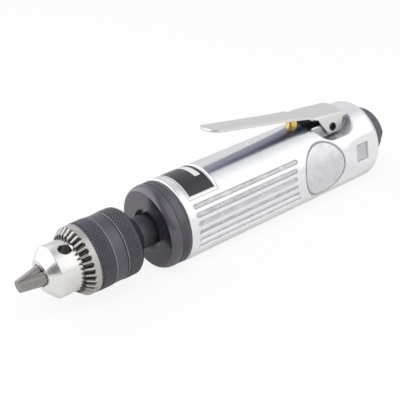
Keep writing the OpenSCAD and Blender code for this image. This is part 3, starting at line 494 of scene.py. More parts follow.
def round_the_tool(tree, count, along, turn, radius, shape, scale=(1, 1, 1)):
    """Copies of a shape that stand on a round surface, each at its own place along the tool and its own turn."""
    place = vector(tree, along, calc(tree, "MULTIPLY", calc(tree, "COSINE", turn), radius),
                   calc(tree, "MULTIPLY", calc(tree, "SINE", turn), radius))
    points = add_node(tree, "GeometryNodePoints", Count=count, Position=place)
    lean = vector(tree, calc(tree, "SUBTRACT", turn, math.pi / 2), 0.0, 0.0)
    copies = add_node(tree, "GeometryNodeInstanceOnPoints", Points=points.outputs[0], Instance=shape.outputs[0],
                      Rotation=lean, Scale=scale)
    return copies.outputs[0]


def grown(tree, copies, result, sizes, material):
    """Ends a geometry tree, and gives the plain mesh that it makes with these sizes."""
    real = add_node(tree, "GeometryNodeRealizeInstances", Geometry=copies)
    done = add_node(tree, "GeometryNodeSetMaterial", Geometry=real.outputs[0], Material=material)
    tree.links.new(done.outputs[0], result.inputs[0])
    thing = linked("work", bpy.data.meshes.new("work"))
    step = thing.modifiers.new("grow", "NODES")
    step.node_group = tree
    for item in tree.interface.items_tree:
        if item.in_out == "INPUT" and item.name in sizes:
            step[item.identifier] = sizes[item.name]
    return baked(thing)


def knurl(radius, start, end, pitch, depth, material):
    """Diamond points in a band round the tool, each one a low four-sided cone."""
    columns = round(2 * math.pi * radius / pitch)
    rows = round((end - start) / (pitch / 2)) - 1
    sizes = {"Radius": radius, "Start": start, "Length": end - start, "Columns": columns, "Rows": rows,
             "Depth": depth}
    tree, given, result = new_tree("knurl", sizes)
    count = calc(tree, "MULTIPLY", given["Columns"], given["Rows"])
    index = add_node(tree, "GeometryNodeInputIndex").outputs[0]
    row = calc(tree, "FLOOR", calc(tree, "DIVIDE", calc(tree, "ADD", index, 0.5), given["Columns"]))
    column = calc(tree, "SUBTRACT", index, calc(tree, "MULTIPLY", row, given["Columns"]))
    offset = calc(tree, "MULTIPLY", calc(tree, "MODULO", row, 2.0), 0.5)
    turn = calc(tree, "DIVIDE", calc(tree, "MULTIPLY", calc(tree, "ADD", column, offset), 2 * math.pi),
                given["Columns"])
    step = calc(tree, "DIVIDE", given["Length"], calc(tree, "ADD", given["Rows"], 1.0))
    along = calc(tree, "MULTIPLY_ADD", calc(tree, "ADD", row, 1.0), step, given["Start"])
    cone = add_node(tree, "GeometryNodeMeshCone", {"fill_type": "NGON"}, Vertices=4, Radius_Bottom=1.0,
                    Radius_Top=0.12, Depth=1.0)
    half_round = calc(tree, "DIVIDE", calc(tree, "MULTIPLY", given["Radius"], math.pi), given["Columns"])
    copies = round_the_tool(tree, count, along, turn, given["Radius"], cone,
                            vector(tree, step, half_round, given["Depth"]))
    return grown(tree, copies, result, sizes, material)


def hatching(radius, middle, block, sizes, material):
    """Slanted ribs side by side round the tool, each a block of a length, width and height."""
    length, across_rib, height = block
    rib = {"Radius": radius, "Middle": middle, "Length": length, "Width": across_rib, "Height": height,
           "Ribs": sizes.ribs, "Slant": sizes.slant}
    tree, given, result = new_tree("hatching", rib)
    index = add_node(tree, "GeometryNodeInputIndex").outputs[0]
    turn = calc(tree, "DIVIDE", calc(tree, "MULTIPLY", index, 2 * math.pi), given["Ribs"])
    block = add_node(tree, "GeometryNodeMeshCube",
                     Size=vector(tree, given["Length"], given["Width"], given["Height"]))
    slanted = add_node(tree, "GeometryNodeTransform", Geometry=block.outputs[0],
                       Rotation=vector(tree, 0.0, 0.0, given["Slant"]))
    copies = round_the_tool(tree, given["Ribs"], given["Middle"], turn, given["Radius"], slanted)
    return grown(tree, copies, result, rib, material)


# Barrel
class BarrelSizes(PropertyGroup):
    """Sizes of the barrel"""
    rear_round: FloatProperty(name="Rear rounding", description="Rounding of the barrel's rear edge",
                              default=0.004, unit="LENGTH")
    groove_count: IntProperty(name="Grooves", description="Long grooves on each side", default=6)
    groove_pitch: FloatProperty(name="Groove pitch", description="Angle from one groove to the next",
                                default=math.radians(11.55), unit="ROTATION")
    groove_length: FloatProperty(name="Groove length", description="Length of the longest grooves",
                                 default=0.061, unit="LENGTH")
    groove_half: FloatProperty(name="Groove half width", description="Half the width of a groove",
                               default=0.0012, unit="LENGTH")
    groove_depth: FloatProperty(name="Groove depth", description="Depth of a groove", default=0.0007,
                                unit="LENGTH")
    emblem_radius: FloatProperty(name="Emblem radius", description="Radius of the round emblem field",
                                 default=0.0137, unit="LENGTH")
    edge: FloatProperty(name="Edge softness", description="How far the barrel's edges are rounded",
                        default=0.0003, unit="LENGTH")


def soft_min(a, b, soft):
    """The lower of two surfaces, with a rounding where they meet."""
    part = np.clip(0.5 + 0.5 * (b - a) / soft, 0, 1)
    return b + (a - b) * part - soft * part * (1 - part)


def soft_max(a, b, soft):
    """The higher of two surfaces, with a rounding where they meet."""
    return -soft_min(-a, -b, soft)


def ramp(value):
    """A smooth step from 0 to 1."""
    value = np.clip(value, 0, 1)
    return value * value * (3 - 2 * value)


def samples(*stretches):
    """Places from stretches of [from, to, step], each once."""
    places = [np.linspace(a, b, max(2, round((b - a) / step) + 1)) for a, b, step in stretches]
    return np.unique(np.round(np.concatenate(places), 4))


FRONT_ROUND = 0.6
GROOVE_FRONT = BARREL_FRONT + 5.5
EMBLEM_X = BARREL_REAR - 39.8
PAD_FRONT = BARREL_REAR - 21
PAD_ANGLE = math.radians(21)
PAD_WALL_SLOPE = 2.5
RECESS_X = BARREL_REAR - 12.5
RECESS = (4.1, 4.9)  # half its length along the tool, and half its height
RECESS_DEPTH = 0.6
RECESS_RIM = 0.1
EDGE_RUN = 0.35  # how wide the recess's rounded edge is
EMBLEM_DEPTH = 0.22
EMBLEM_GROOVE = 0.5  # how deep the groove round the emblem is, and how far it runs inside the emblem's radius
POCKET_X = PIN_X - 0.8
POCKET_HALF = 13
POCKET_CORNER = 9.5
POCKET_FLOOR = PIN_Z - 4.2
HUMP_HALF = 8.7
RISE_START = PIN_X - 6
RISE_RUN = 14
RISE_SINK = 2.2
RISE_SOFT = 0.8  # how softly the hump meets the barrel and the pocket
LABEL_HALF = width("label_plate", 0) / 2 + 1
LABEL_SIDE = math.radians(38)
LABEL_T = 0.3
LABEL_RIM = 0.12


def barrel_skin(x, side, sizes):
    """The barrel's radius at a place along it and an angle up from its side, how rough it is, and its painted shade.

    cast is 1 where the surface is as it was cast and 0 where it is polished. The third value, painted shade, darkens
    edges, grooves, the groove round the emblem and the pocket.
    """
    edge = sizes.edge / MM
    rear = sizes.rear_round / MM
    into_front = np.clip(FRONT_ROUND - (x - BARREL_FRONT), 0, FRONT_ROUND)
    into_rear = np.clip(rear - (BARREL_REAR - x), 0, rear)
    fall = (FRONT_ROUND - np.sqrt(FRONT_ROUND**2 - into_front**2)) + (rear - np.sqrt(rear**2 - into_rear**2))
    radius = BARREL_R - fall + 0 * side

    # the hump on top, which climbs towards the lever's pin
    climb = np.clip((x - RISE_START) / RISE_RUN, -0.3, 1)
    top = BARREL_R - RISE_SINK + (RISE_SINK - 0.05) * climb - fall
    raised = TOP_RISE * np.sin(side) + np.sqrt(top**2 - (TOP_RISE * np.cos(side)) ** 2)
    radius = soft_max(radius, raised, RISE_SOFT)

    # the flat pad and the recess in it
    height = BARREL_R * np.sin(side)
    cast = np.zeros_like(radius)
    pad_wall = np.clip(PAD_FRONT - x, 0, None) * PAD_WALL_SLOPE
    pad = BARREL_R * math.cos(PAD_ANGLE) / np.cos(side) + pad_wall
    radius = soft_min(radius, np.where(np.abs(side) < 1.2, pad, FAR), edge)
    from_recess = np.maximum(np.abs(x - RECESS_X) - RECESS[0], np.abs(height) - RECESS[1])
    radius -= RECESS_DEPTH * ramp(-from_recess / EDGE_RUN)
    radius += RECESS_RIM * ramp(1 - np.abs(from_recess - EDGE_RUN) / EDGE_RUN)
    cast = np.maximum(cast, ramp(-from_recess / 0.2))
    # painted shade along the recess's edge
    painted_shade = 0.5 * ramp(1 - np.abs(from_recess + EDGE_RUN) / 0.4)

    # the round emblem field and the groove round it
    emblem_r = sizes.emblem_radius / MM
    from_centre = np.hypot(x - EMBLEM_X, height) + np.where(np.cos(side) < 0.3, FAR, 0)
    from_groove = np.abs(from_centre - emblem_r + EMBLEM_GROOVE)
    radius -= EMBLEM_GROOVE * ramp((0.55 - from_groove) / 0.4)
    radius -= EMBLEM_DEPTH * ramp((emblem_r - 0.7 - from_centre) / 0.5)
    cast = np.maximum(cast, 0.6 * ramp((emblem_r - 0.9 - from_centre) / 0.4))
    # painted shade in the groove round the emblem
    painted_shade = np.maximum(painted_shade, 0.75 * ramp((0.62 - from_groove) / 0.35))

    # the long grooves
    pitch = sizes.groove_pitch
    half_span = (sizes.groove_count - 1) / 2 * pitch
    for i in range(sizes.groove_count):
        turn = i * pitch - half_span
        length = sizes.groove_length / MM - 3 * (1 - (turn / half_span) ** 2)
        beyond = x - np.clip(x, GROOVE_FRONT, GROOVE_FRONT + length)
        inside = sizes.groove_half / MM - np.hypot(beyond, BARREL_R * (side - turn))
        radius -= sizes.groove_depth / MM * ramp(inside / 0.4)
        cast = np.maximum(cast, ramp((inside - 0.1) / 0.3))
        # painted shade along each groove's edge
        painted_shade = np.maximum(painted_shade, 0.3 * ramp(1 - np.abs(inside - 0.2) / 0.25))

    # the label's seat, with a low rim
    from_label = np.maximum(np.abs(x - LABEL_X) - LABEL_HALF, (LABEL_SIDE - side) * BARREL_R)
    radius -= LABEL_T * ramp(-from_label / LABEL_T)
    radius += LABEL_RIM * ramp(1 - np.abs(from_label - LABEL_T) / 0.4)

    # the pocket that the lever's ears reach into, on either side of the hump
    beyond = np.clip(np.abs(x - POCKET_X) - POCKET_HALF + POCKET_CORNER, 0, None)
    floor = POCKET_FLOOR + POCKET_CORNER - np.sqrt(np.clip(POCKET_CORNER**2 - beyond**2, 0, None))
    floor = np.where(beyond < POCKET_CORNER, floor, FAR)
    up, out = np.sin(side), np.cos(side)
    low_up, low_out = 0.2, 0.05  # below these the divisions would run off
    cut = soft_max(np.where(up > low_up, floor / np.maximum(up, low_up), FAR),
                   HUMP_HALF / np.maximum(out, low_out), RISE_SOFT)
    cast = np.maximum(cast, ramp((radius - cut) / 0.4))
    # painted shade that grows deeper into the pocket
    painted_shade = np.maximum(painted_shade, 0.3 * ramp((radius - cut) / 3))
    return soft_min(radius, cut, edge), cast, painted_shade


def barrel_solid(sizes):
    """The barrel's outside as a solid, with more points where it has more form. Its far side mirrors the near one."""
    front = BARREL_FRONT + FRONT_ROUND
    places = samples((BARREL_FRONT, front, 0.12), (front, GROOVE_FRONT - 2, 0.45),
                     (GROOVE_FRONT - 2, GROOVE_FRONT + 1, 0.25), (LABEL_X - 9.5, LABEL_X - 7, 0.25),
                     (LABEL_X - 7, LABEL_X + 7, 1.3), (LABEL_X + 7, LABEL_X + 9.5, 0.25),
                     (LABEL_X + 9.5, EMBLEM_X - 24, 1.3), (EMBLEM_X - 24, EMBLEM_X - 11, 0.3),
                     (EMBLEM_X - 11, BARREL_REAR - sizes.rear_round / MM, 0.4))
    rear = BARREL_REAR - sizes.rear_round / MM * (1 - np.sin(np.linspace(0, math.pi / 2, 8)))
    places = np.unique(np.round(np.concatenate([places, rear]), 4))
    side = samples((-90, -36, 3), (-36, 36, 0.63), (36, 66, 1), (66, 90, 2)) * math.radians(1)
    radius, _, _ = barrel_skin(places[:, None], side[None, :], sizes)
    near = np.stack([np.broadcast_to(places[:, None], radius.shape), -radius * np.cos(side),
                     radius * np.sin(side)], axis=-1)
    far = near[:, -2:0:-1] * (1, -1, 1)
    rounds = np.concatenate([near, far], axis=1)
    rows, columns = rounds.shape[:2]
    # the last two points are the middles of its flat ends
    points = [*rounds.reshape(-1, 3), (places[0], 0, 0), (places[-1], 0, 0)]
    faces = quads(rows, columns)
    last = (rows - 1) * columns
    faces += [((c + 1) % columns, c, len(points) - 2) for c in range(columns)]
    faces += [(last + c, last + (c + 1) % columns, len(points) - 1) for c in range(columns)]
    return work_mesh(points, faces)


def barrel_hollows(rear_round):
    """The bores that the barrel's parts sit in, as one solid, sized from those parts."""
    motor_r = width("cylinder_liner", 1) / 2 + FIT
    cap_r = motor_r + 0.55
    bulkhead = high("motor_gasket")
    cap_end = high("front_cap") + FIT
    chamber_r = width("valve_seat", 0) / 2 + FIT
    plug_r = width("valve_plug", 0) / 2 + FIT
    plunger_r = width("throttle_plunger", 0) / 2 + RUN
    exhaust_inner, exhaust_outer, exhaust_front = 10.5, BARREL_R - rear_round - 1.2, BARREL_REAR - 6
    exhaust = [(exhaust_front, exhaust_inner), (exhaust_front, exhaust_outer), (BARREL_REAR + 1, exhaust_outer),
               (BARREL_REAR + 1, exhaust_inner)]
    cap = bar(cap_r, BARREL_FRONT - 1, cap_end)
    others = [
        bar(motor_r, BARREL_FRONT - 1, bulkhead),  # the motor
        upright(bar(chamber_r, high("valve_plug", 2), high("valve_seat", 2) + 4), VALVE_X),  # the valve's chamber
        upright(bar(plug_r, -BARREL_R - 1, high("valve_plug", 2)), VALVE_X),  # the plug under it
        upright(bar(plunger_r, high("valve_seat", 2), BEYOND), VALVE_X),  # the plunger
        bar(PASSAGE_R, VALVE_X, BARREL_REAR),  # the air passage
        bar(BUSHING_R + FIT, low("inlet_bushing"), BARREL_REAR + 1),  # the air inlet
        across(bar(PIN_R + FIT, -BEYOND, BEYOND), PIN_X, PIN_Z),  # the lever's pin
        turned(exhaust, 96, ring=True),  # the exhaust chamber
    ]
    return combined(cap, others, "UNION")


class AIRDRILL_OT_barrel(Operator):
    """Builds the polished barrel with its grooves, emblem field, pad and lever pocket"""
    bl_idname = "airdrill.barrel"
    bl_label = "Barrel"

    def execute(self, context):
        sizes = context.scene.airdrill_barrel
        mesh = cleaned(combined(barrel_solid(sizes), [barrel_hollows(sizes.rear_round / MM)], solver="EXACT"))
        x, y, z = np.array([v.co for v in mesh.vertices]).T
        _, cast, painted_shade = barrel_skin(x, np.arctan2(z, np.abs(y)), sizes)
        mark(mesh, "cast", np.where(np.hypot(y, z) < HUMP_HALF + 4, 1, cast))
        # the painted shade, kept for the material to read
        mark(mesh, "painted_shade", painted_shade)
        finish_piece("barrel", mesh, barrel_metal(context.scene.airdrill_colours), "body",
                     ["housing"], sharp=42)
        return {"FINISHED"}


# Throttle lever
class LeverSizes(PropertyGroup):
    """Sizes of the throttle lever"""
    thickness: FloatProperty(name="Thickness", description="Thickness of the sheet", default=0.0012,
                             unit="LENGTH")
    rise: FloatProperty(name="Rise", description="Angle by which the plate rises to its tip",
                        default=math.radians(10.8), unit="ROTATION")
    height: FloatProperty(name="Height", description="Height of the plate's top over the pin",
                          default=0.0062, unit="LENGTH")
    length: FloatProperty(name="Length", description="From the pin to the tip", default=0.0729,
                          unit="LENGTH")


SADDLE_START, SADDLE_END = -9.4, 7.6
FLAT_END = -15.5
ARCH_R = 18.8
SADDLE_TOP = 8.1
EAR_OUT = 10.2
EAR_CORNERS = (
    # radius, middle along and in height, and angles of the ear's two lower corners
    (3.6, -1.2, 0.4, range(202, 271, 8)),
    (4.4, 2.4, 1.2, range(270, 351, 8)),
)
FOLD_R = 1.3
TIP_R = 9.5
TIP_FADE = 10  # how far from the tip its rounding fades out
TIP_L = 12  # the stretch at the tip that has closer rows
PLATE_HALVES = ((15.5, 8.9), (19.5, 8.2), (31.5, 7.35), (55, 7.1), (72.9, 6.8))  # distance from the pin, half width


def ear_bottom(x):
    """How low the lever's ear hangs below the pin's height, at a place along it."""
    corners = [(radius * math.cos(math.radians(a)) + middle_x, radius * math.sin(math.radians(a)) + middle_z)
               for radius, middle_x, middle_z, angles in EAR_CORNERS for a in angles]
    outline = [(SADDLE_START, 6.2), *corners, (SADDLE_END, 4.8)]
    return float(np.interp(x, *zip(*outline)))


def saddle_section(x):
    """Half a section of the saddle from the middle out, then down its ear, as [across, height] over the pin."""
    bow = ((x - FLAT_END) / (SADDLE_END - FLAT_END)) ** 1.6

    def arch(y):
        return SADDLE_TOP - bow * (ARCH_R - math.sqrt(ARCH_R**2 - y * y))

    fold_y = EAR_OUT - FOLD_R
    fold_z = arch(fold_y) - FOLD_R
    points = [(fold_y * i / 8, arch(fold_y * i / 8)) for i in range(9)]
    slope = math.atan(bow * fold_y / math.sqrt(ARCH_R**2 - fold_y**2))
    points += [(fold_y + FOLD_R * math.sin(a), fold_z + FOLD_R * math.cos(a))
               for a in np.linspace(slope, math.pi / 2, 6)]
    drop = min(ear_bottom(x), fold_z - 0.05)
    points += [(EAR_OUT, fold_z + (drop - fold_z) * i / 8) for i in range(1, 9)]
    return points


def plate_half(x):
    """Half the plate's width at a place along it, before the pin."""
    return float(np.interp(-x, *zip(*PLATE_HALVES)))


def lever_rows(sizes):
    """Rows of points across the lever's upper face, from its tip to the saddle's rear edge."""
    rise, top, length = sizes.rise, sizes.height / MM, sizes.length / MM
    count = len(saddle_section(0))
    # shares of the half width, closer to each other near the edge, and as many as the saddle has points
    shares = np.concatenate([np.linspace(0, 0.8, 9), np.linspace(0.83, 0.93, 6)[1:], np.linspace(0.93, 1, 10)[1:]])
    shares = np.interp(np.linspace(0, 1, count), np.linspace(0, 1, len(shares)), shares)
    rows = []
    for x in [*(-length + np.linspace(0, 1, 12) ** 2 * TIP_L), *np.linspace(TIP_L - length, FLAT_END, 26)[1:]]:
        fade = max(0.0, 1 - (x + length) / TIP_FADE) ** 2
        row = []
        for share in shares:
            y = share * plate_half(x)
            at = x + (TIP_R - math.sqrt(TIP_R**2 - y * y)) * fade
            row.append((at * math.cos(rise) + top * math.sin(rise), y, top * math.cos(rise) - at * math.sin(rise)))
        rows.append(row)
    plate_end = np.array(rows[-1])
    saddle_front = np.array([(SADDLE_START, y, z) for y, z in saddle_section(SADDLE_START)])
    slope = np.array((math.cos(rise), 0, -math.sin(rise))) * (SADDLE_START - FLAT_END)
    for t in np.linspace(0, 1, 9)[1:-1]:
        # the plate carried on and the saddle carried forward, blended from one to the other
        ease = ramp(t)
        ahead = saddle_front - np.array((1, 0, 0)) * (SADDLE_START - FLAT_END) * (1 - t)
        rows.append((plate_end + slope * t) * (1 - ease) + ahead * ease)
    ends = np.concatenate([np.linspace(SADDLE_START, 5.8, 26), np.linspace(5.8, SADDLE_END, 12)[1:]])
    rows += [[(x, y, z) for y, z in saddle_section(x)] for x in ends]
    return np.array([np.asarray(row) for row in rows])


def lever_mesh(sizes):
    """The lever's sheet: its upper face on both sides of the middle, with a wall below it and the pin's hole."""
    half = lever_rows(sizes) + (PIN_X, 0, PIN_Z)
    whole = np.concatenate([half[:, :0:-1] * (1, -1, 1), half], axis=1)
    upwards = [(a, d, c, b) for a, b, c, d in quads(*whole.shape[:2], closed=False)]
    thing = linked("work", raw_mesh(whole.reshape(-1, 3), upwards))
    wall = thing.modifiers.new("wall", "SOLIDIFY")
    wall.thickness = sizes.thickness / MM
    wall.offset = -1
    wall.use_even_offset = True
    solid = bevelled(baked(thing), 0.22, 50)
    return combined(solid, [across(bar(PIN_R + RUN, -BEYOND, BEYOND, 48), PIN_X, PIN_Z)])


def painted_underside_shade(tree):
    """1 where the lever faces down to the barrel, 0 elsewhere: there a dark blue-grey is painted on as shade."""
    facing = add_node(tree, "ShaderNodeTexCoord").outputs["Normal"]
    up = add_node(tree, "ShaderNodeSeparateXYZ", Vector=facing).outputs["Z"]
    return spread(tree, up, 1, 0, -0.6, -0.3)


class AIRDRILL_OT_lever(Operator):
    """Builds the bent sheet lever that opens the throttle, and the slotted pin that it turns on"""
    bl_idname = "airdrill.lever"
    bl_label = "Lever and pin"

    def execute(self, context):
        colours = context.scene.airdrill_colours
        # the lever's downward faces are painted a dark blue-grey as shade
        steel = metal("lever_satin", colours.lever, 1, 0.32, vary=0.03, size=14, fine=0.12,
                      fine_stretch=(0.06, 1, 1), bump=0.25, shade=0.95, edge=0.1,
                      masked=[(painted_underside_shade, (0.37, 0.39, 0.47))])
        finish_piece("lever_sheet", lever_mesh(context.scene.airdrill_lever), steel, "lever",
                     ["throttle_lever"])
        black = metal("pin_oxide", (0.02, 0.02, 0.02), 0.7, 0.35, size=1, fine=0.1, edge=0.08)
        reach = high("lever_pin", 1)
        inner = PIN_R * 0.45
        pin = turned(softened([(-reach, inner), (-reach, PIN_R), (reach, PIN_R), (reach, inner)], 0.25), 64,
                     ring=True)
        slot_tool = placed(bar(0.35, -reach - 1, reach + 1, 4),
                           shift(0, 0, PIN_R * 0.75) @ Matrix.Diagonal((1, 1, 3, 1)))
        pin = across(combined(pin, [slot_tool]), PIN_X, PIN_Z)
        finish_piece("roll_pin", pin, black, "body", ["lever_pin"])
        return {"FINISHED"}


# Chuck
class ChuckSizes(PropertyGroup):
    """Sizes of the chuck"""
    knurl_pitch: FloatProperty(name="Knurl pitch", description="Distance between the sleeve's diamond points",
                               default=0.0017, unit="LENGTH")
    knurl_depth: FloatProperty(name="Knurl depth", description="Height of the sleeve's diamond points",
                               default=0.0003, unit="LENGTH")
    teeth: IntProperty(name="Teeth", description="Teeth of the ring that the key turns", default=31)
    tooth_depth: FloatProperty(name="Tooth depth", description="Depth of the gear ring's teeth",
                               default=0.0015, unit="LENGTH")
    key_hole: FloatProperty(name="Key hole", description="Radius of the holes for the key's pilot",
                            default=0.0027, unit="LENGTH")
    jaw_angle: FloatProperty(name="Jaw angle", description="Angle by which the jaws close in",
                             default=math.radians(13), unit="ROTATION")


SLEEVE_FRONT = low("chuck_sleeve")
SLEEVE_REAR = high("chuck_sleeve")
SLEEVE_R = width("chuck_sleeve", 1) / 2
KNURL_BANDS = ((0.8, 7.2), (14.4, 20.8))  # from the sleeve's front
EDGE_LINES = (7.9, 14.1)  # from the sleeve's front too
KNURL_SINK = 0.03
NOSE_FRONT = low("chuck_body")
CHUCK_REAR = high("chuck_body")
NOSE_FACE_R = 7.3
CONE_L = 4.3
GEAR_FRONT = low("chuck_gear_ring")
GEAR_R = width("chuck_gear_ring", 1) / 2
GEAR_FACE_R = GEAR_R - 2.45
GEAR_CONE_L = 3.1
GEAR_PHASE = math.radians(87)
NUT_FRONT = low("chuck_nut") - RUN
NUT_REAR = high("chuck_nut") + RUN
HUB_R = 12.4
NOSE_R = HUB_R - 0.66
NECK_R = 8.6
JAW_HOLE_R = 2.96
JAW_MOUTH_R = 5.2
KEY_X = GEAR_FRONT - 2.8
FIRST_KEY = 62  # angle of the first hole for the key, in degrees up from the near side
NUT_SEAT_R = 13.04
SKIRT_R = 14.26  # the gear ring's rear part, inside the sleeve
SLEEVE_BORE = 14.3
SLEEVE_GUIDE = 12.46
SPINDLE_BORE = 4.75
SPINDLE_BORE_L = 16
JAW_PLAY = 0.28


def gear_ring_mesh(sizes):
    """The toothed ring: slots are sunk into its bevelled front, square to the surface."""
    bore = NOSE_R + RUN
    bevel = np.linspace(0, 1, 15)[1:]
    band = np.linspace(0, 1, 16)[1:] * (SLEEVE_FRONT - GEAR_FRONT - GEAR_CONE_L)
    along = np.concatenate([np.full(9, GEAR_FRONT), GEAR_FRONT + GEAR_CONE_L * bevel,
                            GEAR_FRONT + GEAR_CONE_L + band])
    radius = np.concatenate([np.linspace(bore, GEAR_FACE_R, 9), GEAR_FACE_R + (GEAR_R - GEAR_FACE_R) * bevel,
                             np.full(len(band), GEAR_R)])
    path = np.concatenate([[0], np.cumsum(np.hypot(np.diff(along), np.diff(radius)))])
    bevel_start = GEAR_FACE_R - bore
    bevel_end = path[8 + len(bevel)]
    bevel_turn = math.atan2(GEAR_CONE_L, GEAR_R - GEAR_FACE_R)
    # the way into the metal, as a turn from along the tool to towards its axis
    inward = np.interp(path, [bevel_start - 0.3, bevel_start + 0.5, bevel_end - 0.3, bevel_end + 0.8],
                       [0, bevel_turn, bevel_turn, math.pi / 2])
    steps = sizes.teeth * 12
    turns = np.linspace(0, 2 * math.pi, steps, endpoint=False)
    # how far each point is from the middle of the nearest slot
    share = (turns - GEAR_PHASE) * sizes.teeth / (2 * math.pi)
    pitch = 2 * math.pi * radius / sizes.teeth
    off = np.abs(share - np.round(share))[None, :] * pitch[:, None]
    beyond = np.clip(path - bevel_end + 0.1, 0, None)[:, None]
    half = 0.35 * pitch[:, None]
    deep = ramp((half - np.hypot(off, beyond)) / (0.45 * half))
    cut = sizes.tooth_depth / MM * deep
    # painted shade: full in the slots, and most of the way on the flat ring next to the nose
    shade = np.maximum(deep, 0.8 * ramp((bevel_start + 0.5 - path) / 0.5)[:, None])
    whole_along = along[:, None] + cut * np.cos(inward)[:, None]
    whole_radius = radius[:, None] - cut * np.sin(inward)[:, None]
    # the ring's inner side: its skirt in the sleeve, the nut's seat and the bore
    ring_rear = high("chuck_gear_ring")
    inside = [(SLEEVE_FRONT, SKIRT_R), (ring_rear, SKIRT_R), (ring_rear, NUT_SEAT_R), (NUT_FRONT, NUT_SEAT_R),
              (NUT_FRONT, bore)]
    rows = len(inside)
    whole_along = np.concatenate([whole_along, np.repeat([[x] for x, _ in inside], steps, axis=1)])
    whole_radius = np.concatenate([whole_radius, np.repeat([[r] for _, r in inside], steps, axis=1)])
    mesh = grid_shell(whole_along, whole_radius)
    mark(mesh, "deep", np.concatenate([shade, np.zeros((rows, steps))]))
    return mesh


def chuck_body_mesh(sizes):
    """The chuck's body with the slanted holes of its jaws and the holes for the key's pilot."""
    nut_floor = JAW_MOUTH_R + (NUT_FRONT - NOSE_FRONT) * math.tan(sizes.jaw_angle) - 0.2
    outside = [(NOSE_FRONT, 0), (NOSE_FRONT, NOSE_FACE_R), (NOSE_FRONT + CONE_L, NOSE_R), (NUT_FRONT, NOSE_R),
               (NUT_FRONT, nut_floor), (NUT_REAR, nut_floor), (NUT_REAR, HUB_R), (SLEEVE_REAR, HUB_R),
               (SLEEVE_REAR, NECK_R), (CHUCK_REAR, NECK_R), (CHUCK_REAR, 0)]
    tools = [bar(PASSAGE_R, NOSE_FRONT - 1, NUT_REAR + 1),
             bar(SPINDLE_BORE, CHUCK_REAR - SPINDLE_BORE_L, CHUCK_REAR + 1)]
    middle = JAW_MOUTH_R - (JAW_HOLE_R - RUN) / math.cos(sizes.jaw_angle)
    hole = sizes.key_hole / MM
    for i in range(3):
        jaw_turn = math.radians(90 - FIRST_KEY - 60 - 120 * i)
        tools.append(placed(bar(JAW_HOLE_R + JAW_PLAY, -12, 42, 48),
                            spin(jaw_turn) @ shift(NOSE_FRONT, 0, middle) @ spin(-sizes.jaw_angle, "Y")))
        key = turned([(7, 0), (7, hole), (NOSE_R - 0.7, hole), (NOSE_R + 0.1, hole + 0.65),
                      (NOSE_R + 3, hole + 0.65), (NOSE_R + 3, 0)], 64)
        tools.append(outwards(key, KEY_X, math.radians(FIRST_KEY + 120 * i)))
    return combined(turned(softened(outside, 0.3, 2), 192), tools)


def painted_hole_shade(tree):
    """0 on the outside of the nose, 1 well inside its holes, where a dark grey is painted on as shade."""
    squares = [calc(tree, "POWER", object_axis(tree, axis), 2.0) for axis in "YZ"]
    from_axis = calc(tree, "SQRT", calc(tree, "ADD", *squares))
    from_front = calc(tree, "SUBTRACT", object_axis(tree, "X"), NOSE_FRONT * MM)
    cone = calc(tree, "MULTIPLY_ADD", from_front, (NOSE_R - NOSE_FACE_R) / CONE_L, NOSE_FACE_R * MM)
    surface = calc(tree, "MINIMUM", cone, NOSE_R * MM)
    depth = calc(tree, "MINIMUM", from_front, calc(tree, "SUBTRACT", surface, from_axis))
    return spread(tree, depth, 0, 1, 0.4 * MM, 2.6 * MM)


def behind_gear(tree):
    """1 on the part of the chuck's body that shows behind the sleeve, which is left black."""
    return spread(tree, object_axis(tree, "X"), 0, 1, NUT_FRONT * MM, (NUT_FRONT + 1) * MM)


def edge_lines(tree):
    """1 on the two thin bright lines round the sleeve."""
    along = object_axis(tree, "X")
    lines = [calc(tree, "ABSOLUTE", calc(tree, "SUBTRACT", along, (SLEEVE_FRONT + x) * MM)) for x in EDGE_LINES]
    return spread(tree, calc(tree, "MINIMUM", *lines), 1, 0, 0.1 * MM, 0.3 * MM)


def slot_shade(tree):
    """1 in the slots between the gear ring's teeth, and on the flat ring where the teeth meet the nose: painted
    shade.
    """
    return point_value(tree, "deep")


class AIRDRILL_OT_nose(Operator):
    """Builds the chuck's polished nose with its holes, and the toothed ring behind it"""
    bl_idname = "airdrill.nose"
    bl_label = "Nose and gear ring"

    def execute(self, context):
        sizes = context.scene.airdrill_chuck
        colours = context.scene.airdrill_colours
        # painted shade darkens the insides of the nose's holes; behind the gear ring the body is black
        polish = metal("nose_polish", colours.nose, 1, 0.2, vary=0.03, size=7, fine=0.12,
                       fine_stretch=(1, 0.03, 0.03), bump=0.12, shade=0.92, edge=0.15,
                       masked=[(painted_hole_shade, (0.25, 0.235, 0.23)), (behind_gear, (0.11, 0.104, 0.12))])
        finish_piece("chuck_nose", chuck_body_mesh(sizes), polish, "spindle", ["chuck_body"])
        # the slots and the ring next to the nose get painted shade
        cut_steel = metal("gear_cut", colours.gear, 1, 0.34, vary=0.05, size=3, fine=0.15, bump=0.1, shade=0.85,
                          edge=0.1, masked=[(slot_shade, (0.1, 0.094, 0.092))])
        finish_piece("gear_ring", gear_ring_mesh(sizes), cut_steel, "sleeve", ["chuck_gear_ring"])
        return {"FINISHED"}


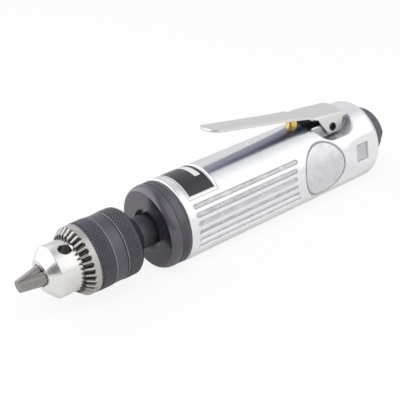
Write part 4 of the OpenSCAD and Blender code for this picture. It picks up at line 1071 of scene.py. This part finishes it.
class AIRDRILL_OT_sleeve(Operator):
    """Builds the knurled sleeve that the chuck key turns"""
    bl_idname = "airdrill.sleeve"
    bl_label = "Sleeve"

    def execute(self, context):
        sizes = context.scene.airdrill_chuck
        oxide = metal("sleeve_oxide", context.scene.airdrill_colours.sleeve, 0.8, 0.34, vary=0.03, size=8,
                      fine=0.2, bump=0.12, shade=0.88, edge=0.12, masked=[(edge_lines, (0.3, 0.29, 0.31))])
        depth = sizes.knurl_depth / MM
        low_r = SLEEVE_R - depth
        waist = SLEEVE_R - 0.18
        front, rear = KNURL_BANDS
        outside = [(0, SLEEVE_BORE), (0, SLEEVE_R - 0.35), (0.35, SLEEVE_R), (front[0] - 0.1, SLEEVE_R),
                   (front[0], low_r), (front[1], low_r), (front[1] + 0.1, SLEEVE_R), (7.7, SLEEVE_R),
                   (7.9, waist), (13.3, waist), (13.45, SLEEVE_R - 0.6), (13.75, SLEEVE_R - 0.6),
                   (13.9, SLEEVE_R), (rear[0] - 0.1, SLEEVE_R),
                   (rear[0], low_r), (rear[1], low_r), (rear[1] + 0.1, SLEEVE_R - 0.15), (22.4, SLEEVE_R - 1.2),
                   (22.4, SLEEVE_GUIDE), (19.5, SLEEVE_GUIDE), (19.5, SLEEVE_BORE)]
        profile = softened([(SLEEVE_FRONT + x, r) for x, r in outside], 0.18, 2)
        finish_piece("sleeve", turned(profile, 200, ring=True), oxide, "sleeve", ["chuck_sleeve"])
        for name, (start, end) in (("sleeve_knurl_front", front), ("sleeve_knurl_rear", rear)):
            points = knurl(low_r - KNURL_SINK + depth / 2, SLEEVE_FRONT + start, SLEEVE_FRONT + end,
                           sizes.knurl_pitch / MM, depth, oxide)
            finish_piece(name, points, oxide, "sleeve", sharp=1)
        return {"FINISHED"}


# Front cap and label
class CapSizes(PropertyGroup):
    """Sizes of the front cap"""
    ribs: IntProperty(name="Ribs", description="Slanted ribs round the grip band", default=104)
    slant: FloatProperty(name="Slant", description="Angle of the ribs from the tool's axis",
                         default=math.radians(38), unit="ROTATION")
    shoulder: FloatProperty(name="Shoulder", description="Drop from the grip band to the flat face",
                            default=0.0023, unit="LENGTH")


CAP_FRONT = low("front_cap")
CAP_R = width("front_cap", 1) / 2
CAP_BAND_L = 5.6
BAND_START = BARREL_FRONT - CAP_BAND_L
RIBS_START, RIBS_END = BAND_START + 0.5, BARREL_FRONT - 0.95
RIB_SINK = 0.22
RIB_L, RIB_WIDTH, RIB_HEIGHT = 4.5, 0.45, 0.24
CAP_BORE = 9.5
CAP_SEAT = 14.0
SPIGOT_R = 17.9
DIMPLES = ((-137.4, 50), (-134.5, -3))  # places along the tool, and angles up from the near side in degrees
LABEL_ANGLES = (42, 138)  # in degrees from +Y towards +Z, as those of the white field
WHITE_FIELD = (2.4, 5.4)  # from the label's middle along the tool
WHITE_FIELD_ANGLES = (68, 112)
FRAME_LINE = 0.4
LABEL_SINK = 0.26
PRINT_PROUD = 0.03
PRINT_OVERLAP = 0.1  # in degrees


class AIRDRILL_OT_cap(Operator):
    """Builds the glossy front cap with its ribbed grip band and two punched marks"""
    bl_idname = "airdrill.cap"
    bl_label = "Front cap"

    def execute(self, context):
        sizes = context.scene.airdrill_cap
        colour = context.scene.airdrill_colours.cap
        gloss = metal("cap_gloss", colour, 0, 0.18, vary=0.02, size=14, fine=0.4,
                      bump=0.03, shade=0.95, edge=0.2, gloss=1, tint=(0.93, 0.88, 1), index=1.65)
        drop = sizes.shoulder / MM
        shoulder = [(BAND_START - (BAND_START - CAP_FRONT) * math.sin(a), CAP_R - drop * (1 - math.cos(a)))
                    for a in np.radians(np.linspace(78, 0, 12))]
        sunk = CAP_R - RIB_SINK
        cap_rear = high("front_cap")
        outside = [(CAP_FRONT, CAP_BORE), (CAP_FRONT, CAP_R - drop - 0.4), *shoulder, (BAND_START + 0.35, CAP_R),
                   (RIBS_START, sunk), (RIBS_END, sunk), (BARREL_FRONT - 0.8, CAP_R),
                   (BARREL_FRONT - 0.4, CAP_R), (BARREL_FRONT, CAP_R - 0.4), (BARREL_FRONT, SPIGOT_R),
                   (cap_rear, SPIGOT_R), (cap_rear, CAP_SEAT), (CAP_FRONT + 2.5, CAP_SEAT),
                   (CAP_FRONT + 2.5, CAP_BORE)]
        pits = []
        for along, angle in DIMPLES:
            pit = turned([(CAP_R - 0.55, 0), (CAP_R - 0.1, 0.5), (CAP_R + 1, 0.5), (CAP_R + 1, 0)], 24)
            pits.append(outwards(pit, along, math.radians(angle)))
        cap = combined(turned(softened(outside, 0.22, 2), 220, ring=True), pits)
        finish_piece("front_cap_gloss", cap, gloss, "body", ["front_cap"])
        ribs = hatching(sunk + 0.02, (RIBS_START + RIBS_END) / 2, (RIB_L, RIB_WIDTH, RIB_HEIGHT), sizes, gloss)
        finish_piece("front_cap_grip", ribs, gloss, "body", sharp=20)
        return {"FINISHED"}


class AIRDRILL_OT_label(Operator):
    """Builds the black label with a thin white frame and a blank white field"""
    bl_idname = "airdrill.label"
    bl_label = "Label"

    def execute(self, context):
        half = width("label_plate", 0) / 2
        first, last = LABEL_ANGLES
        turn = math.degrees(FRAME_LINE / BARREL_R)
        ink = metal("label_ink", (0.025, 0.021, 0.027), 0, 0.3, size=5, fine=0.3, bump=0.1)
        plate = sector(LABEL_X - half, LABEL_X + half, BARREL_R - LABEL_SINK, BARREL_R, first, last, 96)
        finish_piece("label_black", plate, ink, "body", ["label_plate"])
        white = metal("label_white", (0.8, 0.8, 0.81), 0, 0.35, size=4, fine=0.3, bump=0.1, shade=0.95)
        skin = (BARREL_R - 0.28, BARREL_R + PRINT_PROUD)
        front, rear = LABEL_X - half - PRINT_PROUD, LABEL_X + half + PRINT_PROUD
        first_edge, last_edge = first - PRINT_OVERLAP, last + PRINT_OVERLAP
        inner = (front + FRAME_LINE, rear - FRAME_LINE)
        field = [LABEL_X + x for x in WHITE_FIELD]
        strips = [sector(front, inner[0], *skin, first_edge, last_edge, 96),
                  sector(inner[1], rear, *skin, first_edge, last_edge, 96),
                  sector(*inner, *skin, first_edge, first + turn, 4),
                  sector(*inner, *skin, last - turn, last_edge, 4),
                  sector(*field, *skin, *WHITE_FIELD_ANGLES)]
        finish_piece("label_frame", joined(strips), white, "body")
        return {"FINISHED"}


# Tail: the exhaust deflector and the air inlet
class TailSizes(PropertyGroup):
    """Sizes of the tail"""
    window: FloatProperty(name="Window", description="Width of the opening in the deflector's rim, as an angle",
                          default=math.radians(60), unit="ROTATION")
    window_turn: FloatProperty(name="Window turn", description="How far the opening faces down from the side",
                               default=math.radians(33), unit="ROTATION")
    flutes: IntProperty(name="Flutes", description="Grip flutes round the rim", default=16)
    holes: IntProperty(name="Exhaust holes", description="Small holes that the air leaves by", default=12)
    hexagon: FloatProperty(name="Hexagon", description="Width of the inlet's hexagon across its flats",
                           default=0.019, unit="LENGTH")
    thread_pitch: FloatProperty(name="Thread pitch", description="Pitch of the air inlet's thread",
                                default=0.0014, unit="LENGTH")


DEFLECTOR_FRONT = low("exhaust_deflector")
DEFLECTOR_R = 15.1
RIM_R = 14
RIM_WALL = 1.6
WEB_REAR = DEFLECTOR_FRONT + 3.4
RIM_END = high("exhaust_deflector")
COLLAR_R = 9
INLET_R = 5.9
INLET_BORE = 4.9
THREAD_RELIEF = 5.44
THREAD_L = 11.5
THREAD_DEPTH = 0.6
HEXAGON_L = 5.8
WINDOW_MOUTH = 2  # how far past the rim the window's tool reaches
ROUND_TOOLS = ((1.3, RIM_R + 0.85, WEB_REAR + 1), (0.95, 11.4, DEFLECTOR_FRONT - 1))  # the flutes, then the holes


def deflector_mesh(sizes):
    """The ring that turns on the inlet: a flange with small holes, and a fluted rim with a window in it."""
    outside = [(DEFLECTOR_FRONT, COLLAR_R + RUN), (DEFLECTOR_FRONT, DEFLECTOR_R),
               (DEFLECTOR_FRONT + 1.4, DEFLECTOR_R - 0.2), (WEB_REAR, RIM_R + 0.5), (WEB_REAR + 0.6, RIM_R),
               (RIM_END - 0.5, RIM_R), (RIM_END, RIM_R - 0.5), (RIM_END, RIM_R - RIM_WALL),
               (WEB_REAR, RIM_R - RIM_WALL), (WEB_REAR, COLLAR_R + RUN)]
    solid = turned(softened(outside, 0.3), 192, ring=True)
    floor = WEB_REAR + 0.6
    narrow = sizes.window * 0.18
    wide = narrow + (sizes.window / 2 - narrow) * (WINDOW_MOUTH - floor) / (RIM_END - floor)
    wedge = [(x, y, z) for x, half in ((floor, narrow), (WINDOW_MOUTH, wide)) for y, z in
             ((0, 0), (-BEYOND * math.cos(half), BEYOND * math.sin(half)),
              (-BEYOND * math.cos(half), -BEYOND * math.sin(half)))]
    window = work_mesh(wedge, [(0, 1, 2), (5, 4, 3), (0, 3, 4, 1), (1, 4, 5, 2), (2, 5, 3, 0)])
    tools = [placed(window, spin(sizes.window_turn))]
    for count, (radius, off, start) in zip((sizes.flutes, sizes.holes), ROUND_TOOLS):
        tools += [placed(bar(radius, start, WINDOW_MOUTH, 24), spin(2 * math.pi * k / count) @ shift(0, 0, off))
                  for k in range(count)]
    return cleaned(bevelled(combined(solid, tools), 0.12, 40))


def bushing_mesh(sizes):
    """The inlet's bushing: a hexagon with turned corners, a collar, and a threaded bore."""
    front, rear = low("inlet_bushing"), high("inlet_bushing")
    corner = sizes.hexagon / MM / math.sqrt(3)
    hexagon = bar(corner, rear - HEXAGON_L, rear, 6)
    limit = turned([(rear - 8, 0), (rear - 8, corner), (rear - 0.9, corner), (rear, corner - 1.5), (rear, 0)], 96)
    head = combined(hexagon, [limit], "INTERSECT")
    body = turned([(front, 0), (front, BUSHING_R), (BARREL_REAR - 2, BUSHING_R), (BARREL_REAR - 2, COLLAR_R),
                   (rear - 5.7, COLLAR_R), (rear - 5.7, 0)], 96)
    pitch = sizes.thread_pitch / MM
    crest = INLET_R - THREAD_DEPTH
    bore = [(front - 1, 0), (front - 1, INLET_BORE), (rear - 14.1, INLET_BORE), (rear - 14.1, THREAD_RELIEF),
            (rear - 13, THREAD_RELIEF), (rear - 13, crest)]
    for k in range(int(THREAD_L / pitch)):
        start = rear - 12.8 + k * pitch
        bore += [(start, crest), (start + pitch * 0.45, INLET_R), (start + pitch * 0.55, INLET_R)]
    bore += [(rear - 0.8, INLET_R), (rear + 0.1, INLET_R + 0.8), (rear + 1, INLET_R + 0.8), (rear + 1, 0)]
    return bevelled(combined(combined(head, [body], "UNION"), [turned(bore, 72)]), 0.15, 40)


class AIRDRILL_OT_tail(Operator):
    """Builds the dark exhaust deflector with its fluted rim, and the bushing that the air comes in by"""
    bl_idname = "airdrill.tail"
    bl_label = "Tail"

    def execute(self, context):
        sizes = context.scene.airdrill_tail
        grey = metal("tail_grey", context.scene.airdrill_colours.tail, 0.1, 0.34, vary=0.05, size=4, fine=0.25,
                     bump=0.3, edge=0.12)
        finish_piece("deflector", deflector_mesh(sizes), grey, "deflector", ["exhaust_deflector"])
        black = metal("inlet_black", (0.05, 0.05, 0.056), 0.7, 0.34, size=4, fine=0.2, edge=0.1)
        finish_piece("inlet_hexagon", bushing_mesh(sizes), black, "body", ["inlet_bushing"])
        return {"FINISHED"}


# Finishes of the parts that keep their CAD shape
def node_finishes(colours):
    """The finish of each material slot that has such parts."""
    # the bearings' steel is a dim grey rather than bright polish: painted shade, as they sit deep inside the cap
    steel = metal("bearing_steel_in_shade", (0.3, 0.3, 0.32), 1, 0.3, size=4, fine=0.1)
    gear = metal("gear_machined", colours.gear, 1, 0.3, vary=0.06, size=3, fine=0.15, bump=0.4, shade=0.8)
    brass = metal("brass_turned", colours.brass, 1, 0.22, size=2, fine=0.1, fine_stretch=(0.2, 0.2, 1))
    return {
        "bearing_steel": steel,
        "cage_brass": brass,
        "spring_steel": metal("spring_dark", (0.2, 0.2, 0.21), 1, 0.35, size=2, fine=0.1),
        "gear_steel": gear,
        "cast_iron": metal("motor_iron", (0.3, 0.3, 0.31), 0.9, 0.45, size=3, fine=0.3, bump=0.6),
        "vane_composite": metal("vane_fibre", (0.3, 0.16, 0.07), 0, 0.6, size=2, fine=0.15, bump=0.5),
        "gasket": metal("gasket_fibre", (0.09, 0.11, 0.11), 0, 0.75, size=2, fine=0.2, bump=0.6),
        "brass": brass,
        "seal_rubber": metal("seal_rubber", (0.015, 0.015, 0.015), 0, 0.6, size=1, fine=0.1),
        "black_oxide": metal("spindle_oxide", (0.11, 0.104, 0.12), 0.8, 0.34, size=4, fine=0.2),
        "muffler_felt": metal("muffler_felt", (0.6, 0.56, 0.45), 0, 0.9, size=1, fine=0.15, bump=1),
        "jaw_steel": metal("jaw_ground", colours.jaws, 1, 0.3, vary=0.05, size=3, fine=0.12,
                           fine_stretch=(1, 0.3, 0.3), bump=0.5, shade=0.8, edge=0.12),
    }


class AIRDRILL_OT_finishes(Operator):
    """Gives each part that keeps its CAD shape the finish of its material"""
    bl_idname = "airdrill.finishes"
    bl_label = "Finishes"

    def execute(self, context):
        finishes = node_finishes(context.scene.airdrill_colours)
        for part in frame["record"]["subparts"]:
            mesh = frame["nodes"][part["node"]].data
            mesh.materials.clear()
            # the other slots have only parts that a piece stands for, so their finish isn't seen
            mesh.materials.append(finishes.get(part["material_slot"], finishes["gear_steel"]))
        return {"FINISHED"}


# Stage
class StageSizes(PropertyGroup):
    """The camera's place and lens"""
    heading: FloatProperty(name="Camera heading", description="Turn of the camera from +Y towards +X",
                           default=math.radians(35.1775), unit="ROTATION")
    pitch: FloatProperty(name="Camera pitch", description="Angle by which the camera looks down",
                         default=math.radians(23.1659), unit="ROTATION")
    roll: FloatProperty(name="Camera roll", description="Roll of the camera about its view",
                        default=math.radians(-8.4016), unit="ROTATION")
    distance: FloatProperty(name="Camera distance", description="From the camera to its target",
                            default=0.42734, unit="LENGTH")
    target: FloatVectorProperty(name="Camera target", description="Point at the middle of the picture",
                                default=(-0.112476, 0, 0.002638), unit="LENGTH")
    lens: FloatProperty(name="Lens", description="Focal length for a 36 mm sensor", default=82.94)


SENSOR = 36
FLOOR_HALF = 3.0
FLOOR_GAP = 0.0005
FLOOR_SEEN = 0.88  # the share of plain white that the camera sees in the floor
FLOOR_MIRRORED = 0.15  # the same for what the tool's surfaces mirror
FLOOR_WHITES = ((0.93, 0.93, 0.93), (0.95, 0.95, 0.95))
FLOOR_PATCH = 300
SOFT_LIGHT = 0.48
LAMPS_AIM = (-0.11, 0, 0)
LAMPS = (
    # name, place, size and power
    ("key", (-0.35, -0.45, 0.75), 0.8, 4.6),
    ("fill", (0.45, -0.55, 0.35), 0.6, 1.1),
    ("back", (-0.1, 0.7, 0.5), 0.6, 1.6),
)
MIRRORED_REST = (0.6, 0.61, 0.64, 1)  # what metal mirrors in all directions that the next ones don't cover
MIRRORED = (
    # direction, its colour, and how near to it the colour starts and is full
    ((0.75, 0.5, 0.43), (0.84, 0.84, 0.86, 1), 0.6, 0.98),
    ((0.45, -0.68, 0.58), (1.3, 1.3, 1.3, 1), 0.65, 0.95),
    ((-0.6, 0.65, 0.48), (1.9, 1.9, 1.95, 1), 0.5, 0.8),
    ((-0.93, -0.3, 0.2), (0.2, 0.2, 0.22, 1), 0.935, 0.985),
)


def seen_straight(tree, path):
    """1 for what the camera sees without a mirror between, through clear parts too."""
    return calc(tree, "MAXIMUM", path.outputs["Is Camera Ray"], path.outputs["Is Transmission Ray"])


class AIRDRILL_OT_stage(Operator):
    """Places the camera, the pale floor, the lamps and the studio's white surroundings"""
    bl_idname = "airdrill.stage"
    bl_label = "Camera and studio"

    def execute(self, context):
        context.scene.view_settings.view_transform = "Standard"
        self.camera(context.scene)
        self.floor()
        self.lamps()
        self.surroundings(context.scene)
        return {"FINISHED"}

    def camera(self, scene):
        """Sets the camera at its distance from the target."""
        sizes = scene.airdrill_stage
        camera = linked("camera", bpy.data.cameras.new("camera"))
        turn = spin(-sizes.heading, "Z") @ spin(math.pi / 2 - sizes.pitch) @ spin(sizes.roll, "Z")
        ahead = turn @ Vector((0, 0, -1))
        camera.matrix_world = shift(*(Vector(sizes.target) - ahead * sizes.distance)) @ turn
        camera.data.lens = sizes.lens
        camera.data.sensor_width = SENSOR
        camera.data.clip_start = 0.01
        scene.camera = camera

    def floor(self):
        """Lays a pale floor that is nearly as white as the surroundings, so that only shadows show on it."""
        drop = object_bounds()[0][2] - FLOOR_GAP
        corners = [(x * FLOOR_HALF, y * FLOOR_HALF, drop) for x, y in ((-1, -1), (1, -1), (1, 1), (-1, 1))]
        floor = linked("floor", raw_mesh(corners, [(0, 1, 2, 3)]))
        floor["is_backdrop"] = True
        material, tree, shader = new_material("floor_white")
        pale = blend_colour(tree, grain(tree, FLOOR_PATCH), *(rgba(white) for white in FLOOR_WHITES))
        feed(tree, shader, Base_Color=pale, Roughness=0.9, Specular_IOR_Level=0.1)
        white = add_node(tree, "ShaderNodeEmission", Strength=1.0)
        path = add_node(tree, "ShaderNodeLightPath")
        share = calc(tree, "MAXIMUM", calc(tree, "MULTIPLY", seen_straight(tree, path), FLOOR_SEEN),
                     calc(tree, "MULTIPLY", path.outputs["Is Glossy Ray"], FLOOR_MIRRORED))
        whole = mix_shaders(tree, share, shader.outputs[0], white.outputs[0])
        tree.links.new(whole, tree.nodes["Material Output"].inputs["Surface"])
        floor.data.materials.append(material)

    def lamps(self):
        """Hangs the lamps and aims them at the tool."""
        for name, place, size, power in LAMPS:
            lamp = bpy.data.lights.new(name, "AREA")
            lamp.shape = "RECTANGLE"
            lamp.size = lamp.size_y = size
            lamp.energy = power
            thing = linked(name, lamp)
            thing.visible_glossy = False
            aim = (Vector(LAMPS_AIM) - Vector(place)).to_track_quat("-Z", "Y")
            thing.matrix_world = shift(*place) @ aim.to_matrix().to_4x4()

    def surroundings(self, scene):
        """White to the camera, a soft even light on the tool, and pale and dark fields for metal to mirror."""
        world = bpy.data.worlds.new("studio")
        scene.world = world
        world.use_nodes = True
        tree = world.node_tree
        path = add_node(tree, "ShaderNodeLightPath")
        ahead = add_node(tree, "ShaderNodeTexCoord").outputs["Generated"]
        shine = MIRRORED_REST
        for towards, colour, start, end in MIRRORED:
            near = add_node(tree, "ShaderNodeVectorMath", {"operation": "DOT_PRODUCT"})
            fed(tree, near, (ahead, Vector(towards).normalized()))
            shine = blend_colour(tree, spread(tree, near.outputs["Value"], 0, 1, start, end), shine, colour)
        soft, gloss, white = [add_node(tree, "ShaderNodeBackground", Color=colour, Strength=strength).outputs[0]
                              for colour, strength in ((rgba((1, 1, 1)), SOFT_LIGHT), (shine, 1.0),
                                                       (rgba((1, 1, 1)), 1.0))]
        lit = mix_shaders(tree, path.outputs["Is Glossy Ray"], soft, gloss)
        whole = mix_shaders(tree, seen_straight(tree, path), lit, white)
        tree.links.new(whole, tree.nodes["World Output"].inputs["Surface"])


class AIRDRILL_PT_panel(Panel):
    """A button for each piece, in the side bar"""
    bl_label = "Air drill"
    bl_idname = "AIRDRILL_PT_panel"
    bl_space_type = "VIEW_3D"
    bl_region_type = "UI"
    bl_category = "Air drill"

    def draw(self, context):
        for piece in PIECES:
            self.layout.operator(piece.bl_idname)


# in the order that they are built
PIECES = (AIRDRILL_OT_stage, AIRDRILL_OT_finishes, AIRDRILL_OT_barrel, AIRDRILL_OT_label, AIRDRILL_OT_cap,
          AIRDRILL_OT_lever, AIRDRILL_OT_nose, AIRDRILL_OT_sleeve, AIRDRILL_OT_tail)
SIZES = {"airdrill_colours": Colours, "airdrill_barrel": BarrelSizes, "airdrill_cap": CapSizes,
         "airdrill_lever": LeverSizes, "airdrill_chuck": ChuckSizes, "airdrill_tail": TailSizes,
         "airdrill_stage": StageSizes}


def register():
    """Makes the sizes, the operators and the panel known."""
    for kind in (*SIZES.values(), *PIECES, AIRDRILL_PT_panel):
        bpy.utils.register_class(kind)
    for name, kind in SIZES.items():
        setattr(bpy.types.Scene, name, PointerProperty(type=kind))


def unregister():
    """Takes them away again."""
    for name in SIZES:
        delattr(bpy.types.Scene, name)
    for kind in reversed((*SIZES.values(), *PIECES, AIRDRILL_PT_panel)):
        bpy.utils.unregister_class(kind)


def main():
    """Builds every piece."""
    register()
    for piece in PIECES:
        group, name = piece.bl_idname.split(".")
        getattr(getattr(bpy.ops, group), name)()


if __name__ == "__main__":
    main()
